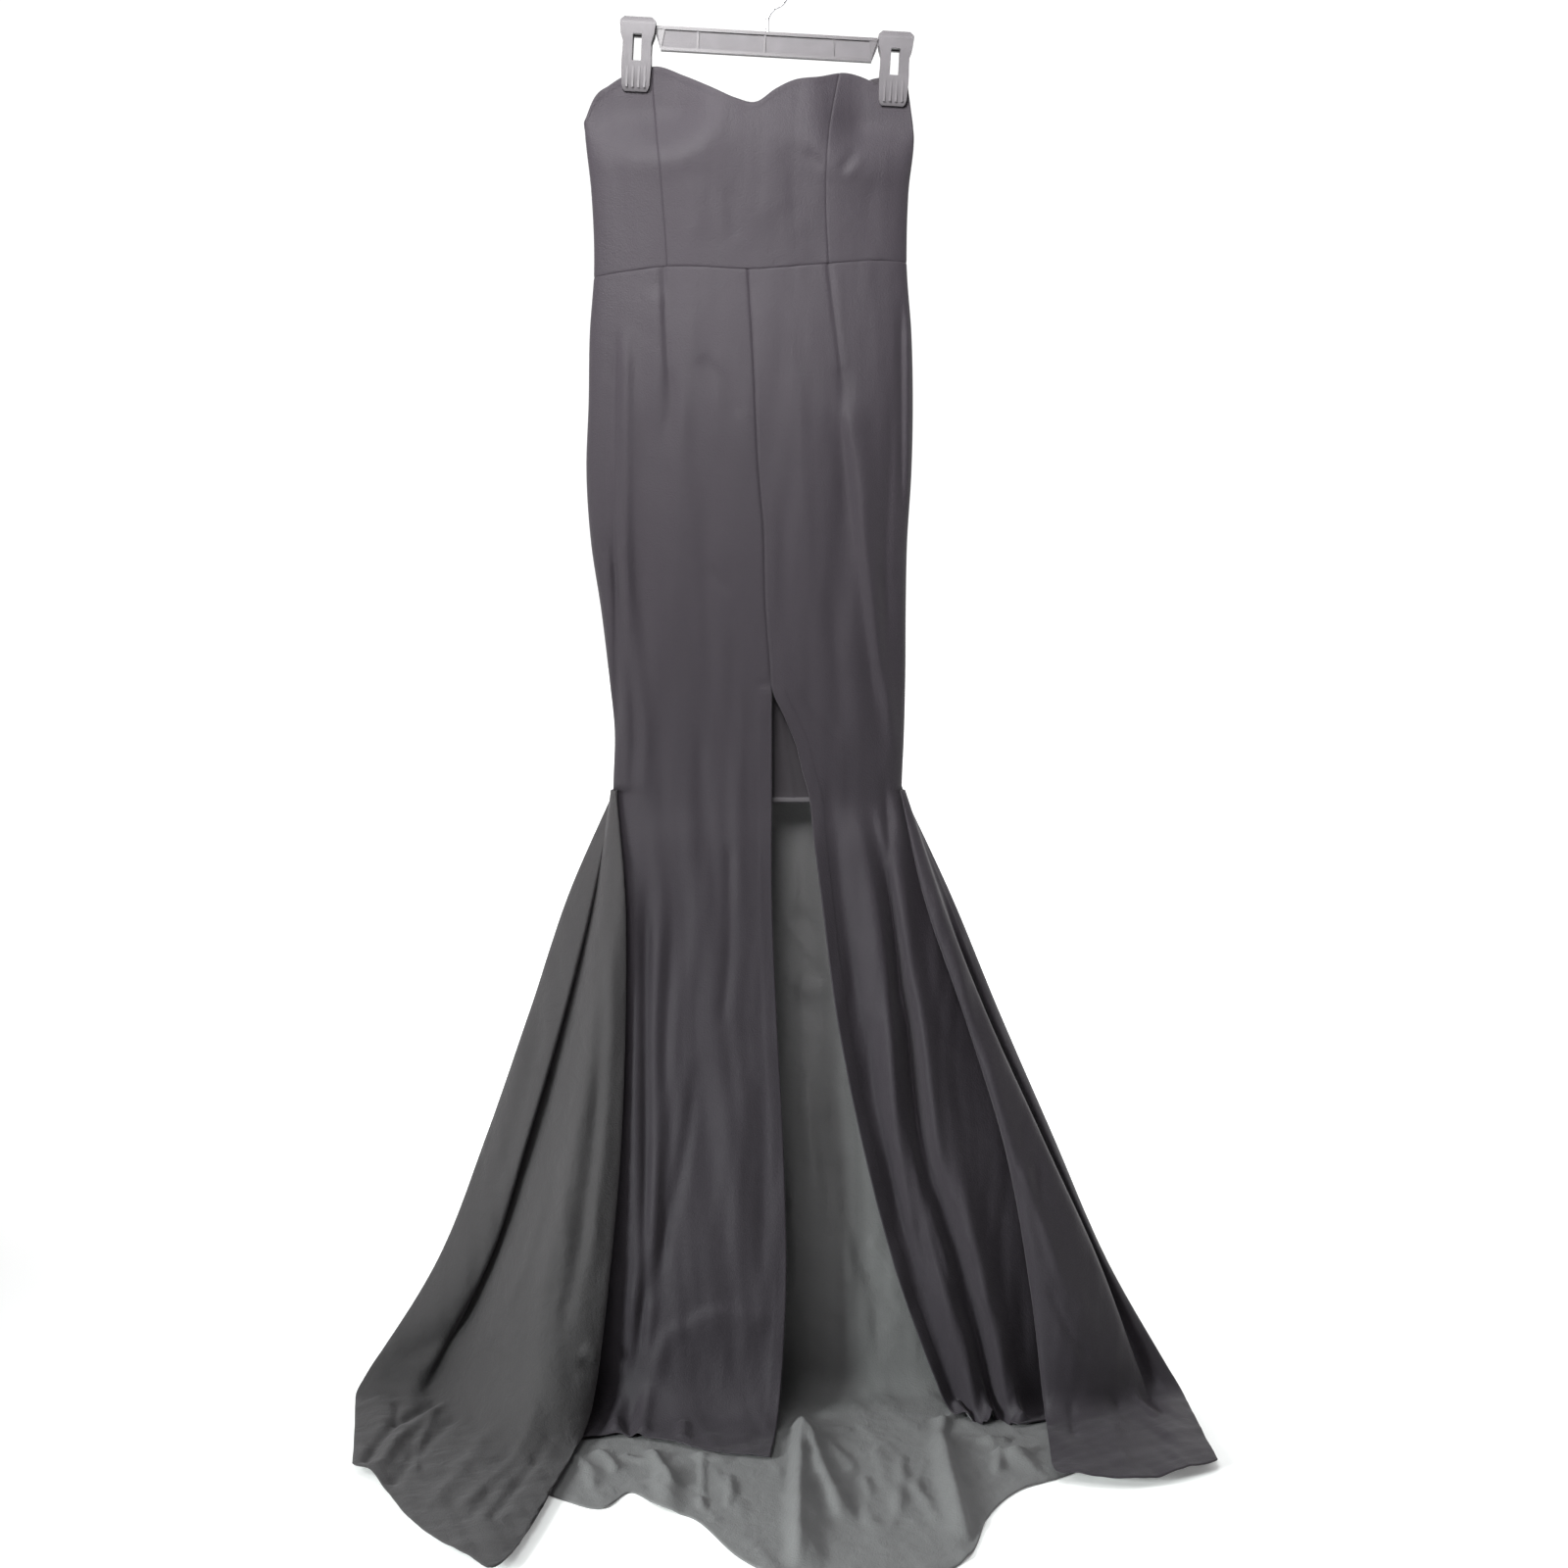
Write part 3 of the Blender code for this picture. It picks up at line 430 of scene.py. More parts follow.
front_x = np.concatenate([panel_columns(side_x[0], seam_x[0], 36),
                          panel_columns(seam_x[0], seam_x[1], 74)[1:],
                          panel_columns(seam_x[1], side_x[1], 38)[1:]]).T
front = bodice_wall(front_x, NECKLINE, True, BODICE_FOLDS, 0.7)
back = bodice_wall(panel_columns(*side_x, 110).T, BACK_EDGE, False, BACK_BODICE_FOLDS, 2.1)
front_normals, back_normals = grid_normals(front, -1), grid_normals(back, 1)
for edge in (0, -1):
    meet_at_side(front[:, edge], front_normals[:, edge], back[:, edge], back_normals[:, edge])


def sewn(points, normals, seams, depth=0.5, reach=1.1):
    """The cloth drawn in along its sewn edges: in by depth * exp(-(d / reach)^2) and, softly, a third
    as far over eight times the reach, d being the distance to the edge. Half a seam gap is left."""
    points = points.copy()
    for edge in seams:
        d = edge_distance(points, edge)
        pull = depth * np.exp(-(d / reach) ** 2) + depth / 3 * np.exp(-(d / (8 * reach)) ** 2)
        points -= normals * pull[..., None]
    for edge in seams:
        line = {"first": (0, 1), "last": (-1, -2)}.get(edge)
        if line:
            points[line[0]] += unit(points[line[1]] - points[line[0]]) * SEAM_GAP / 2
        else:
            here, beside = (0, 1) if edge == "left" else (-1, -2)
            points[:, here] += unit(points[:, beside] - points[:, here]) * SEAM_GAP / 2
    return points


def turned(points, edges, width, extra):
    """Wall thickness with a turned edge: the wall grows by extra within width of each edge."""
    wall = np.full(points.shape[:2], CLOTH_WALL)
    for edge in edges:
        wall = np.maximum(wall, CLOTH_WALL + extra * (1 - ease((edge_distance(points, edge) - width) / 2)))
    return wall


TOP_TURN, HEM_TURN, SLIT_TURN = 5.0, 18.0, 12.0
LINING = knit("lining knit", (0.036, 0.032, 0.036), (0.024, 0.021, 0.024),
              rough=0.88, grain=0.3, crinkle=0.5, sheen=0.12)
for name, cut, seams, flat in (
        ("bodice_front_left", slice(0, 36), ("last", "right"), (0.085, 0.21)),
        ("bodice_front_centre", slice(35, 109), ("last", "left", "right"), (0.195, 0.205)),
        ("bodice_front_right", slice(108, 146), ("last", "left"), (0.09, 0.19))):
    grid, grid_out = front[:, cut], front_normals[:, cut]
    piece = cloth(f"{name}_cloth", sewn(grid, grid_out, seams), -1, turned(grid, ["first"], TOP_TURN, 0.7),
                  grid_out, inside=LINING)
    settle(piece, name, "knit_face", flat=flat)
piece = cloth("bodice_back_cloth", sewn(back, back_normals, ("last",)), 1,
              turned(back, ["first"], TOP_TURN, 0.7), back_normals, inside=LINING)
settle(piece, "bodice_back", "knit_face", flat=(0.34, 0.2))

# The two front skirt panels: each runs from the waist seam to the front hem, is shaped by one dart
# and is joined to the other by the middle seam, which stops at the slit. Turned edges and hem.
SLIT_TOP, WAIST_LEVEL = 776.0, 1206.0
MIDDLE = columns(
    "height left right", (1206, -20, -20), (1142, -16, -16), (1070, -12, -12), (999, -9, -9),
    (938, -4, -4), (863, -2, -2), (809, 2, 2), (SLIT_TOP, 4, 5), (743, 4, 20), (718, 4, 30),
    (689, 4, 37), (KNEE, 4, 42), (600, 4, 51), (560, 4, 56))
FRONT_LEFT = columns(
    "share x560 x430 x290 x150 x0 y640 y560 y0 hem_x hem_y bend lift",
    (0.00, -166, -168, -176, -190, -204, -9, -24, -48, -196, -118, 40, 5),
    (0.25, -142, -141, -147, -156, -162, -27, -36, -62, -156, -112, 50, 7),
    (0.50, -98, -98, -104, -110, -112, -34, -40, -74, -106, -126, 65, 6),
    (0.75, -50, -48, -46, -50, -54, -35, -42, -70, -56, -150, 70, 5),
    (1.00, 4, 9, 16, 19, 12, -35, -39, -68, 3, -166, 70, 6),
)
FRONT_RIGHT = columns(
    "share x560 x430 x290 x150 x0 y640 y560 y0 hem_x hem_y bend lift",
    (0.00, 174, 218, 260, 290, 308, -9, -20, -34, 312, -62, 18, 5),
    (0.14, 152, 183, 216, 250, 276, -24, -36, -56, 278, -82, 22, 5),
    (0.26, 136, 160, 184, 226, 258, -32, -46, -72, 260, -86, 22, 6),
    (0.38, 126, 144, 166, 208, 242, -31, -34, -48, 246, -66, 18, 5),
    (0.52, 112, 129, 149, 190, 226, -36, -45, -70, 232, -84, 22, 7),
    (0.76, 84, 98, 122, 158, 206, -34, -36, -52, 222, -72, 22, 5),
    (1.00, 56, 73, 101, 138, 192, -38, -46, -62, 212, -76, 22, 6),
)
UPPER = np.concatenate([[0, 0.002, 0.005, 0.01], np.linspace(0.016, 1, 130)])
LOWER = np.linspace(0.007, 1, 150)
GROUND = np.concatenate([np.linspace(0.015, 0.96, 74), [0.975, 0.988, 1]])


def hang_and_lie(drop, ground, lie, full_drop, bend):
    """Lets a hanging line run over on to the floor: the corner between its drop and its length on the
    floor is the parabola (past + bend)^2 / (4 bend), past being the run beyond the full drop. Gives
    the drop left to hang and the share of the floor part that is used."""
    run = np.concatenate([drop * full_drop, full_drop + ground[:, None] * lie])
    past = run - full_drop
    lying = np.where(past < -bend, 0, np.where(past > bend, past, (past + bend) ** 2 / (4 * bend)))
    lying[-1] = np.maximum(lying[-1], lie)
    return run - lying, lying / np.maximum(lie, 1e-6)


def fold_rows(folds, top, tops):
    """Points of each fold line, lines by rows: it follows its x and y down through the heights that
    head the table's columns, then bends and runs along the floor to its place at the hem."""
    lie = np.hypot(folds["hem_x"] - folds["x0"], folds["hem_y"] - folds["y0"])
    full = top - folds["lift"]
    drop, share = hang_and_lie(LOWER[:, None], GROUND, lie, full, folds["bend"])
    height = top - drop
    along = (height - folds["lift"]) / full * top
    lines = []
    for line in range(len(lie)):
        point = []
        for k, axis in enumerate("xy"):
            names = [n for n in folds if n[0] == axis]
            knots = [top] + [float(n[1:]) for n in names]
            values = [tops[line][k]] + [folds[n][line] for n in names]
            reach = folds[f"hem_{axis}"][line] - folds[f"{axis}0"][line]
            point.append(smooth(knots, values, along[:, line]) + reach * share[:, line])
        lines.append(np.stack([*point, height[:, line]], -1))
    return np.array(lines)


HANGS_FROM, LIES_FROM = 70.0, 20.0
LOOSE_FROM, LOOSE_ALL = 780.0, 480.0


def stand_forward(points, folds, floor_folds, seed, waves=1.5):
    """Folds added to a skirt grid: towards the viewer where it hangs and up where it lies, going from
    one to the other between HANGS_FROM and LIES_FROM above the floor. The small waves along and
    across grow from 0.3 of their size at LOOSE_FROM to all of it at LOOSE_ALL."""
    x, y, height = np.moveaxis(points, -1, 0)
    lying = ease((HANGS_FROM - height) / (HANGS_FROM - LIES_FROM))
    looser = waves * (0.3 + 0.7 * ease((LOOSE_FROM - height) / (LOOSE_FROM - LOOSE_ALL)))
    hang = soft_lines(x, height, folds) + hang_waves(x, height, seed, looser)
    hang = hang + hang_waves(height + 0.7 * x, x, seed + 3, 0.3 * looser)
    lie = soft_lines(x, y, floor_folds) + hang_waves(x + 0.4 * y, y, seed + 1, waves * 0.8)
    lie = lie + hang_waves(y - 0.5 * x, x, seed + 5, 0.4 * waves)
    points[..., 1] -= hang * (1 - lying)
    points[..., 2] += lie * lying
    points[..., 2] = np.maximum(points[..., 2], CLOTH_WALL / 2 + 0.15)
    return points


def front_panel(side, folds, count):
    """A front skirt panel: rows from the waist to the hem, columns from the side seam to the middle.
    Above the knee it is half the tube, and below it runs through the panel's fold lines."""
    near = "left" if side < 0 else "right"
    share = spread(count, 0.55) ** 1.2

    def tube_part(height):
        left = smooth(TUBE["height"], TUBE["left"], height)
        right = smooth(TUBE["height"], TUBE["right"], height)
        edge = left if side < 0 else right
        x = edge + (smooth(MIDDLE["height"], MIDDLE[near], height) - edge) * share
        return np.stack([x, tube_y(x, height, left, right), height + 0 * x], -1)

    at_waist, at_knee = (tube_part(np.full((1, 1), h))[0] for h in (WAIST_LEVEL, KNEE))
    waist = smooth(WAIST["x"], WAIST["height"], at_waist[:, 0])
    upper = tube_part(waist + (KNEE - waist) * UPPER[:, None])
    heights = KNEE - KNEE * LOWER[:, None]
    tube = tube_part(np.maximum(heights, 560.0))
    tops = [[np.interp(s, share, at_knee[:, k]) for k in (0, 1)] for s in folds["share"]]
    lines = fold_rows({k: v for k, v in folds.items() if k != "share"}, KNEE, tops)
    lower = smooth(folds["share"], lines, share).transpose(1, 0, 2)
    kept = (1 - ease((KNEE - heights) / 60))[:, :, None] * ease((share[:, None] - 0.03) / 0.25)
    hang = len(LOWER)
    lower[:hang, :, :2] += (tube[:, :, :2] - lower[:hang, :, :2]) * kept
    return np.concatenate([upper, lower])


FRONT_LEFT_CREASES = [
    (-2.0, 2.2, 4, 0, 30, [(-105, 1204), (-103, 1139), (-99, 1073)]),
    (-2.5, 7, 9, 30, 60, [(-100, 1110), (-98, 1070), (-100, 1010)]),
    (2.0, 9, 12, 20, 60, [(-112, 1190), (-110, 1120), (-108, 1030)]),
    (-3.2, 5, 4, 60, 80, [(-155, 1153), (-157, 981), (-158, 830), (-159, 690)]),
    (2.8, 6, 7, 50, 80, [(-144, 1153), (-146, 881), (-146, 690)]),
    (-1.6, 9, 9, 60, 100, [(-122, 1080), (-127, 930), (-130, 740)]),
    (1.5, 12, 10, 60, 100, [(-84, 1100), (-92, 940), (-96, 760)]),
    (-1.4, 8, 8, 12, 16, [(-71, 1118), (-43, 1085), (-27, 1050)]),
    (-1.1, 6, 6, 10, 14, [(-64, 905), (-52, 890), (-38, 870)]),
    (-1.1, 9, 9, 60, 90, [(-58, 1000), (-64, 880), (-60, 740)]),
    (-1.5, 8, 8, 40, 90, [(-70, 745), (-68, 640), (-74, 520)]),
    (1.7, 9, 9, 40, 90, [(-32, 720), (-30, 620), (-34, 480)]),
    (5.1, 6, 9, 120, 60, [(-138, 600), (-137, 369), (-138, 156), (-150, 40)]),
    (-5.1, 7, 7, 120, 60, [(-126, 600), (-128, 369), (-130, 156), (-141, 44)]),
    (3.7, 8, 9, 120, 60, [(-112, 577), (-118, 369), (-122, 156), (-134, 50)]),
    (-3.7, 10, 8, 120, 60, [(-98, 560), (-106, 369), (-113, 160), (-124, 55)]),
    (-2.4, 5, 7, 20, 40, [(-39, 618), (-41, 500), (-50, 411)]),
    (-2.7, 12, 12, 80, 90, [(-62, 420), (-70, 300), (-84, 150)]),
    (3.1, 14, 12, 80, 90, [(-30, 400), (-34, 260), (-30, 130)]),
    (-2.0, 8, 8, 40, 60, [(-8, 380), (-4, 250), (-10, 120)]),
    (4.0, 8, 9, 80, 40, [(-92, 520), (-100, 400), (-114, 290), (-128, 195), (-152, 85)]),
    (-4.5, 8, 7, 70, 40, [(-74, 400), (-86, 300), (-106, 214), (-130, 110)]),
    (3.6, 7, 24, 20, 24, [(-93, 98), (-70, 114), (-45, 121), (-20, 116), (7, 104)]),
    (2.6, 12, 7, 10, 14, [(-88, 110), (-108, 92), (-120, 64), (-126, 36)]),
    (-1.2, 3, 3, 0, 4, [(-8, 782), (4, 781)]),
]
FRONT_LEFT_FLOOR = [
    (8.0, 7, 10, 15, 8, [(-120, -62), (-130, -92), (-128, -120)]),
    (-5.0, 8, 6, 15, 8, [(-142, -70), (-146, -96), (-140, -120)]),
    (6.0, 6, 7, 15, 8, [(-152, -62), (-160, -88), (-158, -112)]),
    (5.0, 8, 7, 12, 8, [(-92, -96), (-88, -112), (-90, -132)]),
    (-1.8, 9, 9, 20, 20, [(-90, -84), (-60, -92), (-20, -90)]),
    (2.2, 10, 10, 20, 20, [(-70, -120), (-40, -128), (-8, -120)]),
]
FRONT_RIGHT_CREASES = [
    (-1.6, 4, 2.2, 0, 25, [(62, 1208), (73, 1118), (77, 1085)]),
    (-1.8, 9, 6, 15, 40, [(74, 1110), (78, 1080), (82, 1045)]),
    (5.0, 16, 7, 50, 70, [(80, 1090), (90, 1022), (99, 950), (113, 835), (126, 764), (136, 690)]),
    (-2.8, 6, 12, 50, 70, [(70, 1070), (80, 1005), (89, 930), (102, 820), (114, 730)]),
    (-3.2, 10, 8, 60, 40, [(119, 920), (126, 850), (134, 770), (139, 710)]),
    (-3.0, 4, 5, 50, 60, [(137, 1185), (138, 1081), (139, 940)]),
    (1.6, 5, 5, 50, 60, [(144, 1180), (145, 1081), (143, 950)]),
    (-1.1, 6, 5, 12, 14, [(33, 778), (56, 746), (78, 722)]),
    (1.0, 12, 12, 60, 80, [(30, 1120), (36, 1000), (40, 880)]),
    (-1.1, 10, 10, 60, 80, [(14, 1000), (20, 880), (22, 800)]),
    (-1.0, 8, 8, 40, 60, [(60, 900), (72, 800), (80, 700)]),
    (-2.2, 8, 8, 40, 60, [(64, 690), (76, 560), (96, 430)]),
    (2.4, 9, 9, 40, 60, [(82, 640), (94, 520), (112, 400)]),
    (-4.1, 5, 5, 60, 120, [(122, 700), (128, 580), (142, 460), (160, 340)]),
    (2.7, 6, 6, 60, 100, [(134, 690), (140, 600), (154, 480)]),
    (-2.7, 6, 6, 60, 60, [(118, 330), (140, 220), (178, 110)]),
    (2.4, 6, 6, 60, 60, [(196, 300), (214, 210), (238, 110)]),
    (-4.5, 6, 7, 70, 50, [(133, 532), (139, 385), (154, 255), (180, 130)]),
    (-5.0, 6, 6, 70, 40, [(146, 470), (149, 411), (163, 255), (187, 163), (222, 78)]),
    (4.5, 8, 6, 70, 40, [(152, 500), (160, 436), (171, 333), (181, 255), (211, 163), (244, 104)]),
    (3.0, 6, 7, 60, 50, [(124, 470), (131, 350), (146, 230), (172, 120)]),
]
FRONT_RIGHT_FLOOR = [
    (9.0, 6, 5, 8, 4, [(198, -52), (206, -66), (212, -84)]),
    (10.0, 6, 5, 8, 4, [(224, -52), (232, -66), (240, -84)]),
    (9.0, 6, 5, 8, 4, [(252, -54), (262, -68), (270, -84)]),
    (-4.0, 5, 5, 8, 4, [(212, -56), (219, -68), (226, -84)]),
    (-4.0, 5, 5, 8, 4, [(240, -56), (248, -70), (256, -84)]),
]
left_panel = stand_forward(front_panel(-1, FRONT_LEFT, 92), FRONT_LEFT_CREASES, FRONT_LEFT_FLOOR, 1.3)
right_panel = stand_forward(front_panel(1, FRONT_RIGHT, 124), FRONT_RIGHT_CREASES, FRONT_RIGHT_FLOOR, 2.4)

# The back of the skirt with its train: one wide panel from the waist seam to the floor, where it
# turns forward and lies inside-up under the front hem. Its edges are joined to the side flares.
BACK_SIDES = columns(
    "height left right y", (KNEE, -163, 141, 0), (644, -166, 145, 9), (560, -192, 170, 11),
    (430, -238, 222, 12), (290, -286, 282, 12), (150, -334, 342, 11), (0, -384, 400, 10))
TRAIN_HEM = columns(
    "share x y", (0, -352, -150), (0.1, -286, -200), (0.2, -212, -243), (0.28, -156, -270),
    (0.33, -132, -236), (0.37, -104, -270), (0.43, -66, -296), (0.49, -24, -370), (0.55, 22, -412),
    (0.62, 84, -430), (0.69, 146, -412), (0.74, 186, -370), (0.8, 212, -290), (0.87, 248, -232),
    (0.93, 290, -205), (1, 370, -148))
TRAIN_FOLDS = columns(
    "x1 y1 x2 y2 height width", (36, -60, 38, -400, 8, 13), (44, -70, 80, -300, 7, 12),
    (190, -100, 182, -330, 8, 14), (-110, -170, -90, -280, 7, 13), (240, -120, 268, -190, 6, 12))
BACK_BEND, BACK_LIFT = 30.0, 0.8


def back_panel(count):
    """The back: the tube's back down to the knee, then a sheet between its two sides that bends on to
    the floor and runs to the train's hem, lifted by a soft ridge along each fold."""
    share = spread(count, 0.1)

    def tube_part(height):
        left = smooth(TUBE["height"], TUBE["left"], height)
        right = smooth(TUBE["height"], TUBE["right"], height)
        x = left + (right - left) * share
        return np.stack([x, tube_y(x, height, left, right, False), height + 0 * x], -1)

    waist = smooth(WAIST["x"], WAIST["height"], tube_part(np.full((1, 1), WAIST_LEVEL))[0][:, 0])
    upper = tube_part(waist + (KNEE - waist) * UPPER[:, None])
    hem = [smooth(TRAIN_HEM["share"], TRAIN_HEM[n], share) for n in "xy"]
    left, right, ground_y = (BACK_SIDES[n][-1] for n in ("left", "right", "y"))
    ground_x = left + (right - left) * share
    lie = np.hypot(hem[0] - ground_x, hem[1] - ground_y)
    full = KNEE - BACK_LIFT + 0 * lie
    drop, used = hang_and_lie(LOWER[:, None], GROUND, lie, full, BACK_BEND)
    height = KNEE - drop
    along = (height - BACK_LIFT) / full * KNEE
    left, right, low_y = (smooth(BACK_SIDES["height"], BACK_SIDES[n], along) for n in ("left", "right", "y"))
    x = left + (right - left) * share + (hem[0] - ground_x) * used
    tube = tube_y(x, np.full(x.shape, KNEE), TUBE["left"][-2], TUBE["right"][-2], False)
    opened = ease((KNEE - along) / 26)
    y = tube * (1 - opened) + low_y * opened + (hem[1] - ground_y) * used
    lift = np.zeros(x.shape)
    for x1, y1, x2, y2, tall, wide in zip(*TRAIN_FOLDS.values()):
        length = math.hypot(x2 - x1, y2 - y1)
        run = ((x - x1) * (x2 - x1) + (y - y1) * (y2 - y1)) / length
        off = ((x - x1) * (y2 - y1) - (y - y1) * (x2 - x1)) / length
        lift += tall * ease(run / 50) * ease((length - run) / 60 + 0.35) * np.exp(-(off / wide) ** 2)
    z = height + lift * ease((used - 0.1) / 0.25)
    return np.concatenate([upper, np.stack([x, y, z], -1)])


BACK_CREASES = [
    (2.2, 14, 14, 60, 100, [(-120, 1150), (-100, 1000), (-110, 820)]),
    (-2.4, 12, 12, 60, 100, [(-60, 1170), (-52, 1020), (-64, 860)]),
    (2.6, 14, 12, 60, 100, [(20, 1160), (10, 1010), (24, 820)]),
    (-2.1, 11, 11, 60, 100, [(84, 1140), (96, 980), (90, 800)]),
    (-1.9, 10, 10, 20, 30, [(-90, 720), (-20, 700), (60, 716)]),
    (4.2, 5, 4, 14, 14, [(12, 534), (34, 506), (58, 474)]),
    (-3.4, 5, 5, 14, 14, [(30, 540), (52, 510), (68, 486)]),
    (3.6, 4, 4, 14, 14, [(10, 468), (38, 456), (70, 452)]),
    (-3.0, 5, 4, 14, 20, [(16, 446), (44, 428), (62, 398)]),
    (3.0, 4, 5, 14, 16, [(22, 600), (30, 566), (24, 530)]),
    (-2.6, 4, 4, 12, 14, [(40, 470), (34, 440), (44, 404)]),
    (3.4, 8, 6, 40, 60, [(40, 400), (46, 300), (60, 180)]),
    (-4.0, 10, 7, 50, 60, [(64, 360), (82, 220), (112, 100)]),
    (3.0, 4, 4, 12, 14, [(30, 330), (52, 318), (80, 330)]),
    (-2.8, 5, 4, 12, 14, [(50, 262), (72, 248), (96, 256)]),
    (3.6, 5, 5, 12, 14, [(104, 176), (130, 150), (156, 112)]),
    (-3.2, 5, 5, 12, 14, [(96, 140), (122, 118), (146, 84)]),
    (3.4, 7, 6, 20, 20, [(24, 240), (30, 170), (28, 96)]),
    (-4.8, 24, 20, 80, 60, [(-150, 600), (-190, 380), (-240, 160)]),
    (4.8, 26, 22, 80, 60, [(-60, 560), (-70, 360), (-90, 140)]),
    (-4.8, 24, 24, 80, 60, [(120, 560), (170, 360), (220, 160)]),
]
TRAIN_CREASES = [
    (7.6, 5, 8, 6, 40, [(36, -62), (33, -150), (31, -260), (30, -400)]),
    (-4.2, 8, 5, 8, 40, [(26, -64), (22, -150), (20, -260)]),
    (5.7, 4, 7, 10, 30, [(40, -80), (56, -195), (74, -305)]),
    (-3.4, 6, 6, 10, 30, [(50, -84), (70, -200), (90, -300)]),
    (3.0, 4, 5, 12, 12, [(88, -303), (108, -308), (130, -302)]),
    (6.1, 5, 9, 10, 30, [(186, -60), (180, -150), (184, -250), (190, -350)]),
    (-3.8, 8, 5, 10, 30, [(196, -70), (192, -150), (198, -250)]),
    (3.8, 5, 5, 8, 8, [(184, -82), (196, -62), (210, -44)]),
    (-4.2, 5, 4, 10, 12, [(-108, -136), (-92, -182), (-74, -230)]),
    (3.8, 5, 5, 10, 12, [(-120, -140), (-104, -190), (-90, -240)]),
    (3.4, 3.5, 4, 10, 14, [(-67, -150), (-64, -217), (-62, -284)]),
    (2.8, 3.5, 4, 10, 14, [(-37, -196), (-35, -240), (-40, -284)]),
    (-2.7, 7, 7, 20, 20, [(-10, -190), (-2, -260), (-12, -340)]),
    (2.7, 8, 8, 20, 20, [(110, -130), (118, -210), (140, -280)]),
    (-2.3, 9, 9, 20, 20, [(140, -110), (150, -190), (160, -260)]),
    (3.4, 5, 6, 10, 10, [(226, -110), (236, -150), (230, -200)]),
    (3.4, 6, 6, 12, 12, [(-200, -150), (-178, -190), (-170, -236)]),
    (5.0, 4, 6, 8, 10, [(200, -112), (226, -122), (254, -116)]),
    (4.5, 4, 5, 6, 8, [(232, -146), (250, -154), (272, -150)]),
    (-3.5, 5, 5, 8, 10, [(206, -128), (232, -138), (258, -132)]),
    (4.5, 4, 6, 8, 12, [(-150, -150), (-128, -168), (-104, -160)]),
    (4.0, 4, 5, 8, 10, [(-176, -140), (-160, -164), (-150, -196)]),
    (-3.0, 5, 5, 8, 10, [(-140, -170), (-124, -190), (-112, -214)]),
    (2.6, 5, 6, 14, 20, [(60, -120), (92, -190), (104, -270)]),
    (-2.4, 6, 6, 14, 20, [(8, -200), (4, -270), (12, -360)]),
    (2.4, 5, 6, 14, 20, [(140, -150), (132, -230), (120, -320)]),
    (4.4, 4, 6, 8, 10, [(36, -70), (62, -88), (92, -92)]),
    (3.8, 4, 6, 8, 10, [(34, -80), (12, -104), (-14, -112)]),
    (-3.0, 5, 5, 10, 14, [(100, -160), (86, -240), (92, -330)]),
    (3.2, 5, 6, 10, 14, [(160, -160), (150, -230), (166, -310)]),
    (3.0, 4, 5, 8, 10, [(-80, -150), (-54, -164), (-30, -160)]),
    (-2.6, 4, 5, 8, 10, [(-70, -240), (-46, -262), (-30, -300)]),
]
skirt_back = stand_forward(back_panel(240), BACK_CREASES, TRAIN_CREASES, 3.6, 1.9)
left_out, right_out, back_out = (grid_normals(grid, turn) for grid, turn in (
    (left_panel, -1), (right_panel, 1), (skirt_back, 1)))
hanging = len(UPPER)
for panel, out, edge in ((left_panel, left_out, 0), (right_panel, right_out, -1)):
    meet_at_side(panel[:hanging, 0], out[:hanging, 0], skirt_back[:hanging, edge], back_out[:hanging, edge])


def seam_to_slit(points, out, depth=1.0, reach=1.6):
    """The middle seam: the last columns drawn in above the slit, fading out over its last 12 mm."""
    d = edge_distance(points, "right")
    sewn_part = ease((points[..., 2] - SLIT_TOP) / 12)
    pull = (depth * np.exp(-(d / reach) ** 2) + 0.4 * np.exp(-(d / 10) ** 2)) * sewn_part
    return points - out * pull[..., None]


PANEL_FILL = 0.82
for name, panel, out, turn, flat in (
        ("skirt_front_left", left_panel, left_out, -1, (0.22, 1.29)),
        ("skirt_front_right", right_panel, right_out, 1, (0.21, 1.26))):
    grid = sewn(seam_to_slit(panel, out), out, ("first",))
    grid[:, -1] += unit(grid[:, -2] - grid[:, -1]) * SEAM_GAP / 2
    wall = turned(grid, ["last"], HEM_TURN, 0.5)
    free_edge = (1 - ease((edge_distance(grid, "right") - SLIT_TURN) / 2)) * (grid[..., 2] < SLIT_TOP)
    wall = np.maximum(wall, CLOTH_WALL + 0.9 * free_edge)
    piece = cloth(f"{name}_cloth", grid, turn, wall, out)
    settle(piece, name, "knit_face", flat=flat, area=PANEL_FILL * flat[0] * flat[1])

# The back's hidden hanging part needs fewer rows than its train, so every second or third is kept.
floor_row = hanging + len(LOWER)
kept = np.r_[0:4, 4:hanging:3, hanging:floor_row:2, floor_row:len(skirt_back)]
grid, grid_out = skirt_back[kept], back_out[kept]
piece = cloth("skirt_back_cloth", sewn(grid, grid_out, ("first",)), 1,
              turned(grid, ["last"], HEM_TURN, 0.4), grid_out, rim_slot=1)
settle(piece, "skirt_back", "knit_face", flat=(0.86, 1.62), area=0.76)
